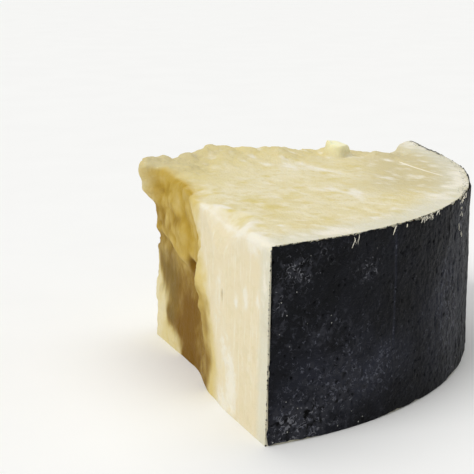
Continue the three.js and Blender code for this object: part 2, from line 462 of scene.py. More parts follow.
    def front_depth(self, along: Array, height: Array) -> Array:
        """Work out how far the front cut lies below its plane.

        Args:
            along: (n,) distances from the axis.
            height: (n,) heights above the base.

        Returns:
            The shoulder's gentle fall, plus the hollow's floor where it has opened, less the
            lip at the tip, plus a lean that grows with height.
        """
        start, spread = self.hollow_edges(height)
        floor = self.hollow_depth + self.ledge_depth * self.below_ledge(along, height)
        floor = floor - self.hollow_base_rise * rise(1.0 - height / self.hollow_base_from)
        shoulder = rise((start + self.shoulder_width - along) / self.shoulder_width)
        hollow = self.shoulder_depth * shoulder + floor * rise((start - along) / spread)
        lip = self.tip_lip(along, height)
        return blend(hollow, self.lip_inset, lip) + self.front_lean * height

    def back_depth(self, along: Array, height: Array) -> Array:
        """Work out how far the back cut lies below its plane.

        Args:
            along: (n,) distances from the axis.
            height: (n,) heights above the base.

        Returns:
            A bell-shaped hollow near the rind, less a bell-shaped swell near the tip, both
            growing with height, plus soft waves that fade at the rind and at the tip.
        """
        swell_at, swell_spread, swell_out, swell_from, swell_blend = self.back_swell
        swell = bell(along, swell_at, swell_spread) * rise((height - swell_from) / swell_blend)
        hollow_at, hollow_spread, depth, hollow_from, hollow_blend = self.back_hollow
        hollow = bell(along, hollow_at, hollow_spread)
        hollow = hollow * rise((height - hollow_from) / hollow_blend)
        level = np.stack([along, np.zeros_like(along), height], axis=1)
        wave = self.back_wave.height + waved(level, self.back_wave)
        inner = rise((self.radius - along) / 25.0) * rise((along - 8.0) / 20.0)
        return depth * hollow - swell_out * swell + wave * inner

    def lump_reach(self, points: Array) -> Array:
        """Work out how far places are from the lump on the back edge.

        Args:
            points: (n, 3) places on the plain quarter.

        Returns:
            (n,) distances in the lump's half sizes, made a little uneven by soft waves.
        """
        dx = (points[:, 0] - self.lump_place[0]) / self.lump_half[0]
        dy = (points[:, 1] - self.lump_place[1]) / self.lump_half[1]
        plan = points * np.array([1.0, 1.0, 0.0])
        return np.hypot(dx, dy) * (1.0 + 0.16 * waves(plan, 5.0, 149))

    def top_rise(self, points: Array) -> Array:
        """Work out how far the top stands above its plane.

        Args:
            points: (n, 3) places on the plain quarter.

        Returns:
            Each crest's bell along the back cut times its bell inwards, plus one steep-sided
            lump, low knobs and wear of a millimetre or so, and soft waves.
        """
        along = points @ self.along_back
        inward = points @ self.into_back
        height = np.zeros(len(points))
        for crest in self.crests:
            hill = bell(along, crest.at, crest.spread) * bell(inward, 0.0, crest.width)
            height += crest.height * hill
        steep = self.lump_steepness * (1.0 - self.lump_reach(points)) + 0.5
        height += self.lump_height * rise(steep)
        height += cover_all(self.top_knobs, points[:, 0], points[:, 1])
        plan = points * np.array([1.0, 1.0, 0.0])
        return height + waved(plan, self.top_wave)

    def inside(self, points: Array) -> dict:
        """Work out how far points lie inside each face.

        Args:
            points: (n, 3) places on the plain quarter.

        Returns:
            (n,) depths in millimetres by face.
        """
        return {
            Face.FRONT: points @ self.into_front,
            Face.BACK: points @ self.into_back,
            Face.TOP: self.top_plane(points[:, 0], points[:, 1]) - points[:, 2],
        }

    def face_shares(self, inside: dict) -> dict:
        """Return how much each face counts: 1 on it, falling off as e to the minus depth."""
        return {face: np.exp(-depth / self.edge_blend) for face, depth in inside.items()}

    def broken_share(self, points: Array, inside: dict) -> Array:
        """Work out how torn the surface is.

        Args:
            points: (n, 3) places on the plain quarter.
            inside: depths inside the faces.

        Returns:
            (n,) from 0 on a clean cut to 1 on a torn face: the sum over the faces of each
            face's share times how torn that face is there.
        """
        front = points @ self.along_front
        back = points @ self.along_back
        share = self.face_shares(inside)
        above = rise((points[:, 2] - self.ledge_height + 3.0) / 6.0)
        start = self.hollow_start + self.shoulder_width
        hollow = self.torn_front * rise((start - front) / self.shoulder_width)
        hollow = hollow * blend(self.torn_below_ledge, 1.0, above)
        torn_back = 1.0 - self.torn_near_rind * rise((back - self.radius + 18.0) / 12.0)
        edge = bell(inside[Face.BACK], 0.0, 24.0) * rise((112.0 - back) / 45.0)
        from_tip = np.hypot(points[:, 0], points[:, 1])
        torn_top = self.torn_top_edge * edge + self.torn_tip * rise((46.0 - from_tip) / 34.0)
        total = share[Face.FRONT] * hollow + share[Face.BACK] * torn_back
        return np.minimum(1.0, total + share[Face.TOP] * torn_top)

    def outwards(self, inside: dict) -> Array:
        """Work out the way out of the cheese.

        Args:
            inside: depths inside the faces.

        Returns:
            (n, 3) unit directions, each the sum of the faces' own weighed by their shares, or
            zeros deep inside.
        """
        share = self.face_shares(inside)
        way = share[Face.TOP][:, None] * np.array([0.0, 0.0, 1.0])
        way = way - share[Face.FRONT][:, None] * self.into_front
        way = way - share[Face.BACK][:, None] * self.into_back
        length = np.linalg.norm(way, axis=1, keepdims=True)
        return np.where(length < self.on_face, 0.0, way / np.maximum(length, self.on_face))

    def rounded_edge(self, away: Array, own_width: Array, sink_width: Array) -> tuple:
        """Round the edge between two faces.

        Args:
            away: (n,) distances of points on one face from the other face.
            own_width: width of the rounding on the points' own face.
            sink_width: width of the rounding on the other face.

        Returns:
            How far the points slide along their own face, and how far they sink below it. Both
            faces meet halfway round the bend, which is part arc and part chamfer.
        """
        t = np.minimum(1.0, away / own_width)
        angle = (1.0 - t) * math.pi / 4.0
        place = blend(1.0 - np.sin(angle), 0.5 * (1.0 + t), self.chamfer_share)
        sink = blend(1.0 - np.cos(angle), 0.5 * (1.0 - t), self.chamfer_share)
        return np.where(t < 1.0, own_width * place - away, 0.0), sink_width * sink

    def round_top_edge(self, points: Array, inside: dict, on_top: Array, moved: Array) -> None:
        """Round the front cut's top edge, which is bent well over at one place.

        Args:
            points: (n, 3) places on the plain quarter.
            inside: depths inside the faces.
            on_top: (n,) True for points of the top.
            moved: (n, 3) places that are changed.
        """
        bent = bell(points @ self.along_front, self.bent_at, self.bent_spread)
        width = self.edge_width + self.bent_width * bent
        drop = self.edge_width + self.bent_drop * bent
        slide, sink = self.rounded_edge(inside[Face.FRONT], width, drop)
        moved += np.where(on_top, slide, 0.0)[:, None] * self.into_front
        moved[:, 2] -= np.where(on_top, sink, 0.0)
        on_cut = ~on_top & (inside[Face.FRONT] < self.on_face)
        slide, sink = self.rounded_edge(inside[Face.TOP], drop, width)
        moved += np.where(on_cut, sink, 0.0)[:, None] * self.into_front
        moved[:, 2] -= np.where(on_cut, slide, 0.0)

    def round_tip(self, points: Array, inside: dict, moved: Array) -> None:
        """Round the blunt tip, where the two cuts meet.

        Args:
            points: (n, 3) places on the plain quarter.
            inside: depths inside the faces.
            moved: (n, 3) places that are changed.
        """
        width = np.full(len(points), self.tip_rounding)
        corner = self.rounded_edge(np.zeros(len(points)), width, width)[1]
        plain = corner * rise(1.0 - np.hypot(points[:, 0], points[:, 1]) / (2.0 * width))
        on_front = inside[Face.FRONT] < self.on_face
        on_back = ~on_front & (inside[Face.BACK] < self.on_face)
        front_slide, front_sink = self.rounded_edge(inside[Face.BACK], width, width)
        back_slide, back_sink = self.rounded_edge(inside[Face.FRONT], width, width)
        front = np.select([on_front, on_back], [front_sink, back_slide], plain)
        back = np.select([on_front, on_back], [front_slide, back_sink], plain)
        moved += front[:, None] * self.into_front + back[:, None] * self.into_back

    def shaped(self, points: Array, on_top: Array) -> Array:
        """Turn points of the plain quarter into the solid's own shape.

        Args:
            points: (n, 3) places on the plain quarter.
            on_top: (n,) True for points of the top.

        Returns:
            (n, 3) places after the edges are rounded, the cuts and the top are carved with a
            fade inside the cheese, and lumps of two sizes are raised where it is torn. Heights
            near the base are held, so that the base stays flat.
        """
        inside = self.inside(points)
        moved = points.copy()
        self.round_top_edge(points, inside, on_top, moved)
        self.round_tip(points, inside, moved)
        fade = {face: 1.0 - rise(depth / self.warp_reach) for face, depth in inside.items()}
        front = self.front_depth(points @ self.along_front, points[:, 2]) * fade[Face.FRONT]
        back = self.back_depth(points @ self.along_back, points[:, 2]) * fade[Face.BACK]
        moved += front[:, None] * self.into_front + back[:, None] * self.into_back
        moved[:, 2] += self.top_rise(points) * fade[Face.TOP]
        crumb = lumped(moved, *self.crumb) * self.broken_share(points, inside)
        moved += crumb[:, None] * self.outwards(inside)
        moved[:, 2] = blend(points[:, 2], moved[:, 2], rise(points[:, 2] / self.base_blend))
        return moved


@dataclass
class Piece:
    """A mesh in the making: points, tables of faces by their corners, and marks for the finish."""

    name: str
    points: Array
    faces: list
    marks: dict = field(default_factory=dict)

    def build(self, form: Quarter, finish: bpy.types.Material, sharp: float) -> bpy.types.Object:
        """Make the Blender object, at the origin, with its place in its mesh.

        Args:
            form: the quarter, which places the wheel's axis.
            finish: the material.
            sharp: angle between faces, in degrees, from which an edge is drawn sharp.

        Returns:
            The object, linked to the scene.
        """
        corner_list = np.concatenate([table.ravel() for table in self.faces]).astype(np.int32)
        sizes = [np.full(len(table), table.shape[1]) for table in self.faces]
        size_list = np.concatenate(sizes).astype(np.int32)
        starts = np.concatenate([[0], np.cumsum(size_list)[:-1]]).astype(np.int32)
        mesh = bpy.data.meshes.new(self.name)
        mesh.vertices.add(len(self.points))
        mesh.vertices.foreach_set("co", form.to_part(self.points).astype(np.float32).ravel())
        mesh.loops.add(len(corner_list))
        mesh.loops.foreach_set("vertex_index", corner_list)
        mesh.polygons.add(len(size_list))
        mesh.polygons.foreach_set("loop_start", starts)
        mesh.polygons.foreach_set("use_smooth", np.ones(len(size_list), dtype=bool))
        mesh.update(calc_edges=True)
        mesh.validate()
        mesh.set_sharp_from_angle(angle=math.radians(sharp))
        for mark, values in self.marks.items():
            layer = mesh.attributes.new(mark, "FLOAT", "POINT")
            layer.data.foreach_set("value", np.asarray(values, dtype=np.float32))
        mesh.materials.append(finish)
        piece = bpy.data.objects.new(self.name, mesh)
        bpy.context.scene.collection.objects.link(piece)
        log.info("%s: %d points, %d faces", self.name, len(self.points), len(size_list))
        return piece


def linear_colour(hex_code: str) -> tuple:
    """Turn an sRGB hex colour into linear red, green, blue and full cover.

    Args:
        hex_code: six hex digits after a hash.

    Returns:
        Four numbers from 0 to 1.
    """
    parts = [int(hex_code[n:n + 2], 16) / 255.0 for n in (1, 3, 5)]
    linear = [p / 12.92 if p <= 0.04045 else ((p + 0.055) / 1.055) ** 2.4 for p in parts]
    return (*linear, 1.0)


def add_node(
    tree: bpy.types.NodeTree, kind: str, settings: dict | None = None, links: dict | None = None
) -> bpy.types.Node:
    """Add a shader node with its settings and links.

    Args:
        tree: the material's node tree.
        kind: Blender's name of the node type.
        settings: a text key that is a field of the node is set on it; any other key is the name
            or number of an input, whose value is set.
        links: the name or number of an input, and the output that feeds it.

    Returns:
        The new node.
    """
    new = tree.nodes.new(kind)
    for key, value in (settings or {}).items():
        if isinstance(key, str) and hasattr(new, key):
            setattr(new, key, value)
        else:
            new.inputs[key].default_value = value
    for key, output in (links or {}).items():
        tree.links.new(output, new.inputs[key])
    return new


def pattern_scale(size_mm: float) -> float:
    """Return the scale of a pattern on Object coordinates whose features are so many mm."""
    return 1.0 / (size_mm * METRES_PER_MM)


MIX_A = 6
MIX_B = 7
MIX_RESULT = 2


@dataclass(frozen=True)
class Tint:
    """A colour laid where the mesh's mark of that name is strong.

    A pattern breaks its edge: the pattern's distance from one half, times the breaking, is
    added to the mark before the share rises from 0 at low to 1 at high.
    """

    mark: str
    colour: str
    low: float = 0.0
    high: float = 1.0
    breaking: float = 0.0
    pattern: str = "spots"


@dataclass(frozen=True)
class Noise:
    """A noise pattern: its size in mm, its detail, the coordinates it lies on and its bending."""

    name: str
    size_mm: float
    detail: float
    way: str = "place"
    bend: float = 0.0


@dataclass
class Surface:
    """A material in the making, with outputs of its nodes that are kept by name."""

    material: bpy.types.Material
    shader: bpy.types.Node
    kept: dict

    @classmethod
    def start(cls, name: str) -> "Surface":
        """Start a material with a surface shader, and with Object coordinates kept as "place".

        Args:
            name: the material's name.

        Returns:
            The new surface.
        """
        material = bpy.data.materials.new(name)
        material.use_nodes = True
        tree = material.node_tree
        tree.nodes.clear()
        shader = add_node(tree, "ShaderNodeBsdfPrincipled")
        add_node(tree, "ShaderNodeOutputMaterial", links={"Surface": shader.outputs["BSDF"]})
        return cls(material, shader, {"place": add_node(tree, "ShaderNodeTexCoord").outputs["Object"]})

    def add(self, *rows: tuple) -> None:
        """Add nodes in order, each fed by outputs that are kept already.

        Args:
            rows: for each node the name its output is kept by, its type, which output that is,
                its settings, and for each linked input the name of the output that feeds it.
        """
        for name, kind, output, settings, links in rows:
            fed = {key: self.kept[source] for key, source in links.items()}
            new = add_node(self.material.node_tree, "ShaderNode" + kind, settings, fed)
            self.kept[name] = new.outputs[output]

    def add_noises(self, noises: tuple, roughness: float) -> None:
        """Add several noises, each kept by its own name.

        Args:
            noises: the noises.
            roughness: how strong their finer layers are.
        """
        for noise in noises:
            look = {"Scale": pattern_scale(noise.size_mm), "Detail": noise.detail}
            look |= {"Roughness": roughness, "Distortion": noise.bend}
            self.add((noise.name, "TexNoise", "Fac", look, {"Vector": noise.way}))

    def line_at_half(self, name: str, pattern: str, width: float) -> None:
        """Draw a line where a pattern passes one half.

        Args:
            name: what the line is kept by.
            pattern: the pattern's name.
            width: how far from one half the line ends: it is 1 less that distance over this.
        """
        self.add(
            (name, "Math", 0, {"operation": "SUBTRACT", 1: 0.5}, {0: pattern}),
            (name, "Math", 0, {"operation": "ABSOLUTE"}, {0: name}),
            (name, "MapRange", 0, {1: width, 2: 0.0}, {0: name}),
        )

    def mix_colours(self, low: str, high: str, share: str) -> None:
        """Keep as "colour" a straight mix of two hex colours by a share."""
        both = {"data_type": "RGBA", MIX_A: linear_colour(low), MIX_B: linear_colour(high)}
        self.add(("colour", "Mix", MIX_RESULT, both, {0: share}))

    def lay(self, tints: tuple) -> None:
        """Lay tints over the colour so far, in order.

        Args:
            tints: what is laid, and where.
        """
        for tint in tints:
            shift = {"operation": "MULTIPLY_ADD", 1: tint.breaking, 2: -0.5 * tint.breaking}
            smooth = {"interpolation_type": "SMOOTHSTEP", 1: tint.low, 2: tint.high}
            over = {"data_type": "RGBA", MIX_B: linear_colour(tint.colour)}
            self.add(
                ("mark", "Attribute", "Fac", {"attribute_name": tint.mark}, {}),
                ("shift", "Math", 0, shift, {0: tint.pattern}),
                ("broken", "Math", 0, {"operation": "ADD"}, {0: "mark", 1: "shift"}),
                ("share", "MapRange", 0, smooth, {0: "broken"}),
                ("colour", "Mix", MIX_RESULT, over, {0: "share", MIX_A: "colour"}),
            )

    def end(self, links: dict, settings: dict) -> bpy.types.Material:
        """Feed the surface shader.

        Args:
            links: names of its inputs, and of the outputs that feed them.
            settings: names of its inputs, and their plain values.

        Returns:
            The finished material.
        """
        for key, source in links.items():
            self.material.node_tree.links.new(self.kept[source], self.shader.inputs[key])
        for key, value in settings.items():
            self.shader.inputs[key].default_value = value
        return self.material


@dataclass(frozen=True)
class PasteFinish:
    """Aged sheep's milk cheese, sawn and broken.

    Pale straw with whiter and yellower clouds of a few centimetres, short dabs drawn out along
    the saw's way on top and upright streaks on the cuts, a fine grain of about a millimetre,
    chalky smears, and a paler, drier rim next to the rind. In the hollow of the front cut, gold
    to dark brown is partly yellower broken paste and mostly painted shade: a painted shadow with
    a painted penumbra along its edge, darker again in crevices and pits, and crevices of the top
    and the back cut get a little painted shade as well. Light sinks a little way in, which
    softens the shade between crumbs.
    """

    name: str
    straw: str = "#e2d5a4"
    cream: str = "#e7ddb8"
    tints: tuple = (
        Tint("sawn", "#ede4bf", 1.0, 1.65, 2.0, "dab"),
        Tint("sawn", "#dbca8f", 0.95, 1.7, 2.2, "mottle"),
        Tint("sawn", "#dccc8a", 0.97, 1.5, 2.0, "blotch"),
        Tint("clean_cut", "#e9dcba", 0.0, 1.0, 0.5),
        Tint("clean_cut", "#eee6cc", 0.95, 1.6, 2.4, "streak"),
        Tint("clean_cut", "#e0d1a3", 0.95, 1.7, 2.4, "mottle"),
        # Buttery paste in patches, and painted shade in crevices.
        Tint("butter_and_crevice_shade", "#e0d08f", 0.35, 1.1, 1.9),
        Tint("dulled", "#d0c396", 0.0, 1.0, 0.8),
        Tint("rim", "#dddac6", 0.1, 1.0, 0.5),
        # Painted penumbra and shade in gold: along the hollow's edge, on the top's brink over it and in
        # crevices of the back cut, over some gold broken paste.
        Tint("golden_and_shade", "#dac47d", 0.0, 1.0, 0.6),
        # Painted shade of the hollow, darker in crevices, over some yellower broken paste.
        Tint("amber_and_shade", "#ba9a3c", 0.05, 0.95, 0.6, "blotch"),
        # Dark brown painted shade: below the ledge of the hollow, in crevices and pits, and along the
        # flake's edge.
        Tint("umber_and_shade", "#79560c", 0.1, 1.05, 0.8, "blotch"),
        # Painted shadow: pale paste in shade, low in the hollow near the tip.
        Tint("drab_shadow", "#7a6229", 0.1, 1.0, 0.6, "streak"),
        Tint("chalk", "#f1ebd8", 0.42, 1.15, 1.5),
        Tint("scratch", "#f4ecd8", 0.3, 0.9, 1.0, "scratch"),
        Tint("lump", "#fffbd0", 0.1, 0.9, 0.4),
        Tint("stained", "#1d1c1b", 0.45, 0.6, 0.9, "grain"),
    )
    noises: tuple = (
        Noise("cloud", 24.0, 3.0),
        Noise("blotch", 10.0, 2.0),
        Noise("dab", 5.0, 1.6, "drawn"),
        Noise("mottle", 3.2, 2.0),
        Noise("streak", 2.0, 2.0, "stood"),
        Noise("grain", 1.1, 3.0),
    )
    noise_roughness: float = 0.58
    dab_stretch: float = 1.5
    streak_stretch: float = 9.0
    streak_in_cloud: float = 0.1
    cloud_range: tuple = (0.38, 0.62)
    scratch_width: float = 0.12
    crumb_mm: float = 2.6
    crumb_relief: float = -0.5
    streak_relief: float = 0.35
    relief_strength: float = 0.7
    relief_mm: float = 0.6
    roughness: tuple = (0.49, 0.69)
    light_depth_mm: float = 1.2

    def make(self) -> bpy.types.Material:
        """Build the material.

        Returns:
            The new material.
        """
        surface = Surface.start(self.name)
        turn = (0.0, 0.0, math.radians(SAW_DEGREES))
        drawn = {"vector_type": "TEXTURE", "Rotation": turn, "Scale": (self.dab_stretch, 1.0, 1.0)}
        stood = {"vector_type": "TEXTURE", "Scale": (1.0, 1.0, self.streak_stretch)}
        surface.add(
            ("drawn", "Mapping", 0, drawn, {"Vector": "place"}),
            ("stood", "Mapping", 0, stood, {"Vector": "place"}),
        )
        surface.add_noises(self.noises, self.noise_roughness)
        low, high = self.cloud_range
        clouds = {"interpolation_type": "SMOOTHSTEP", 1: low, 2: high}
        streaky = {"data_type": "FLOAT", 0: self.streak_in_cloud}
        surface.add(
            ("upright", "Attribute", "Fac", {"attribute_name": "upright"}, {}),
            ("spots", "Mix", 0, {"data_type": "FLOAT"}, {0: "upright", 2: "dab", 3: "mottle"}),
            ("drift", "Mix", 0, streaky, {2: "cloud", 3: "streak"}),
            ("cloudy", "MapRange", 0, clouds, {0: "drift"}),
            ("side", "Attribute", "Fac", {"attribute_name": "scratch_side"}, {}),
        )
        surface.mix_colours(self.straw, self.cream, "cloudy")
        surface.line_at_half("scratch", "side", self.scratch_width)
        surface.lay(self.tints)
        smooth, dull = self.roughness
        crumbs = {"feature": "SMOOTH_F1", "Scale": pattern_scale(self.crumb_mm), "Smoothness": 0.35}
        crumbled = {"operation": "MULTIPLY_ADD", 1: self.crumb_relief}
        streaked = {"operation": "MULTIPLY_ADD", 1: self.streak_relief}
        bump = {"Strength": self.relief_strength, "Distance": self.relief_mm * METRES_PER_MM}
        surface.add(
            ("dry", "MapRange", 0, {3: smooth, 4: dull}, {0: "dab"}),
            ("crumbs", "TexVoronoi", "Distance", crumbs, {"Vector": "place"}),
            ("torn", "Attribute", "Fac", {"attribute_name": "crumbly"}, {}),
            ("crumbs", "Math", 0, {"operation": "MULTIPLY"}, {0: "crumbs", 1: "torn"}),
            ("relief", "Math", 0, crumbled, {0: "crumbs", 2: "grain"}),
            ("relief", "Math", 0, streaked, {0: "streak", 2: "relief"}),
            ("bump", "Bump", "Normal", bump, {"Height": "relief"}),
        )
        return surface.end(
            {"Base Color": "colour", "Roughness": "dry", "Normal": "bump"},
            {
                "IOR": 1.46,
                "Specular IOR Level": 0.13,
                "Subsurface Weight": 0.2,
                "Subsurface Radius": (1.0, 0.85, 0.55),
                "Subsurface Scale": self.light_depth_mm * METRES_PER_MM,
            },
        )


@dataclass(frozen=True)
class CoatFinish:
    """Black rind coat: ash and wax with oil, brushed on in a thin skin.

    Charcoal with a faint blue cast low down, a leathery grain of one to three millimetres,
    a broad soft sheen, short grey worm-like scuffs in a few clusters and sparse white specks.
    Pits are painted nearly black as shade, and far round lighter upright streaks are painted
    highlights.
    """

    name: str
    black: str = "#0f0f10"
    charcoal: str = "#1b1c1f"
    tints: tuple = (
        Tint("slate", "#2e303a", 0.0, 0.9, 0.8, "cloud"),
        Tint("mottled", "#34353b", 0.5, 1.0, 2.2, "mottle"),
        Tint("mottled", "#050506", 0.75, 1.35, 2.6, "blot"),
        Tint("slate", "#585a64", 0.35, 1.0, 1.0, "stroke"),
        # Painted highlights: lighter upright streaks far round, as on wrinkles that catch the light.
        Tint("leathery", "#404246", 1.0, 2.1, 2.7, "ridge_highlight"),
        Tint("scuffed", "#707177", 0.5, 1.0, 0.9, "worm"),
        Tint("ringed", "#5c5d62", 0.3, 1.0, 1.6, "grain"),
        # Painted shade: the pits nearly black.
        Tint("pit_shade", "#050506", 0.1, 0.8, 0.0, "grain"),
        Tint("specked", "#b9b9b4", 0.97, 1.1, 1.0, "dots"),
    )
    noises: tuple = (
        Noise("cloud", 16.0, 4.0),
        Noise("grain", 1.2, 3.0),
        Noise("gaps", 2.2, 1.0),
        Noise("mottle", 2.6, 4.0, bend=0.6),
        Noise("blot", 3.4, 3.0, bend=0.4),
        Noise("worms", 1.8, 0.0, bend=0.8),
        Noise("strokes", 1.9, 1.0, bend=1.0),
        # Upright streaks for the painted highlights far round.
        Noise("ridge_highlight", 3.6, 4.0, "stood"),
    )
    noise_roughness: float = 0.6
    ridge_stretch: float = 1.9
    lines: tuple = (("worm", "worms", 0.08), ("stroke", "strokes", 0.09))
    gap_range: tuple = (0.42, 0.6)
    leather_mm: float = 2.4
    speck_mm: float = 3.6
    speck_range: tuple = (0.16, 0.06)
    grain_relief: float = 0.7
    stroke_relief: float = 0.25
    relief_mm: float = 0.8
    roughness: tuple = (0.36, 0.6)

    def make(self) -> bpy.types.Material:
        """Build the material.

        Returns:
            The new material.
        """
        surface = Surface.start(self.name)
        stood = {"vector_type": "TEXTURE", "Scale": (1.0, 1.0, self.ridge_stretch)}
        surface.add(("stood", "Mapping", 0, stood, {"Vector": "place"}))
        surface.add_noises(self.noises, self.noise_roughness)
        gap_low, gap_high = self.gap_range
        surface.add(("solid", "MapRange", 0, {1: gap_low, 2: gap_high}, {0: "gaps"}))
        for name, pattern, width in self.lines:
            surface.line_at_half(name, pattern, width)
            surface.add((name, "Math", 0, {"operation": "MULTIPLY"}, {0: name, 1: "solid"}))
        leather = {"feature": "SMOOTH_F1", "Scale": pattern_scale(self.leather_mm), "Smoothness": 0.6}
        specks = {"Scale": pattern_scale(self.speck_mm)}
        far, near = self.speck_range
        surface.add(
            ("leather", "TexVoronoi", "Distance", leather, {"Vector": "place"}),
            ("specks", "TexVoronoi", "Distance", specks, {"Vector": "place"}),
            ("dots", "MapRange", 0, {1: far, 2: near}, {0: "specks"}),
        )
        surface.mix_colours(self.black, self.charcoal, "cloud")
        surface.lay(self.tints)
        smooth, dull = self.roughness
        grained = {"operation": "MULTIPLY_ADD", 1: self.grain_relief}
        stroked = {"operation": "MULTIPLY_ADD", 1: self.stroke_relief}
        bump = {"Strength": 1.0, "Distance": self.relief_mm * METRES_PER_MM}
        surface.add(
            ("sheen", "MapRange", 0, {3: smooth, 4: dull}, {0: "cloud"}),
            ("leathery", "Attribute", "Fac", {"attribute_name": "leathery"}, {}),
            ("leather", "Math", 0, {"operation": "MULTIPLY"}, {0: "leather", 1: "leathery"}),
            ("relief", "Math", 0, grained, {0: "grain", 2: "leather"}),
            ("relief", "Math", 0, stroked, {0: "stroke", 2: "relief"}),
            ("bump", "Bump", "Normal", bump, {"Height": "relief"}),
        )
        return surface.end(
            {"Base Color": "colour", "Roughness": "sheen", "Normal": "bump"},
            {"IOR": 1.45, "Specular IOR Level": 0.06},
        )


@dataclass(frozen=True)
class MottledFinish:
    """A plain matt material with a faint mottle of two colours."""

    name: str
    low: str
    high: str
    mottle_mm: float
    roughness: float
    bending: float

    def make(self) -> bpy.types.Material:
        """Build the material; light bends in it by its index of refraction.

        Returns:
            The new material.
        """
        surface = Surface.start(self.name)
        scale = {"Scale": pattern_scale(self.mottle_mm)}
        surface.add(("mottle", "TexNoise", "Fac", scale, {"Vector": "place"}))
        surface.mix_colours(self.low, self.high, "mottle")
        return surface.end({"Base Color": "colour"}, {"Roughness": self.roughness, "IOR": self.bending})


# Loose shavings of dry cheese: nearly white, with a faint straw mottle.
DRY_SHAVINGS = MottledFinish("dry_cheese_shavings", "#f1e8cc", "#fffdf3", 1.5, 0.6, 1.46)
# Matt white paper under the cheese, with a barely visible tooth.
WHITE_PAPER = MottledFinish("white_paper", "#fafaf8", "#f6f6f4", 60.0, 0.9, 1.5)


@dataclass(frozen=True)
class Spots:
    """Places of the plain quarter in the terms that the colours use, all (n,) but the points.

    "Front" and "back" are distances along the cuts, a crevice is a share that is high between
    crumbs, and the tip a share that is high near the wheel's axis.
    """

    points: Array
    inside: dict
    crumbly: Array
    crevice: Array
    front: Array
    back: Array
    height: Array
    from_tip: Array
    from_rind: Array
    tip: Array
    on_front: Array
    on_back: Array
    on_top: Array
    faced: Array

    @classmethod
    def of(cls, form: Quarter, points: Array, inside: dict, crumbly: Array, crumb: Array) -> "Spots":
        """Work out the terms.

        Args:
            form: the quarter's shape.
            points: (n, 3) places on the plain quarter.
            inside: depths inside the faces.
            crumbly: (n,) how crumbly the surface is.
            crumb: (n,) height of the crumb, in millimetres.

        Returns:
            The places.
        """
        share = form.face_shares(inside)
        on_front, on_back, on_top = share[Face.FRONT], share[Face.BACK], share[Face.TOP]
        from_tip = np.hypot(points[:, 0], points[:, 1])
        return cls(
            points,
            inside,
            crumbly,
            crevice=np.clip(0.5 - crumb / 1.8, 0.0, 1.0) * crumbly,
            front=points @ form.along_front,
            back=points @ form.along_back,
            height=points[:, 2],
            from_tip=from_tip,
            from_rind=form.rind_radius(np.arctan2(points[:, 1], points[:, 0])) - from_tip,
            tip=rise((62.0 - from_tip) / 50.0),
            on_front=on_front,
            on_back=on_back,
            on_top=on_top,
            faced=np.clip(on_front + on_top + on_back, 0.0, 1.0),
        )

    def near_rind(self, reach: float, more_on_top: float) -> Array:
        """Return 1 within 4 mm of the rind, falling to 0 at a reach that is longer on top."""
        reach = reach + more_on_top * self.on_top
        return rise((reach - self.from_rind) / (reach - 4.0))


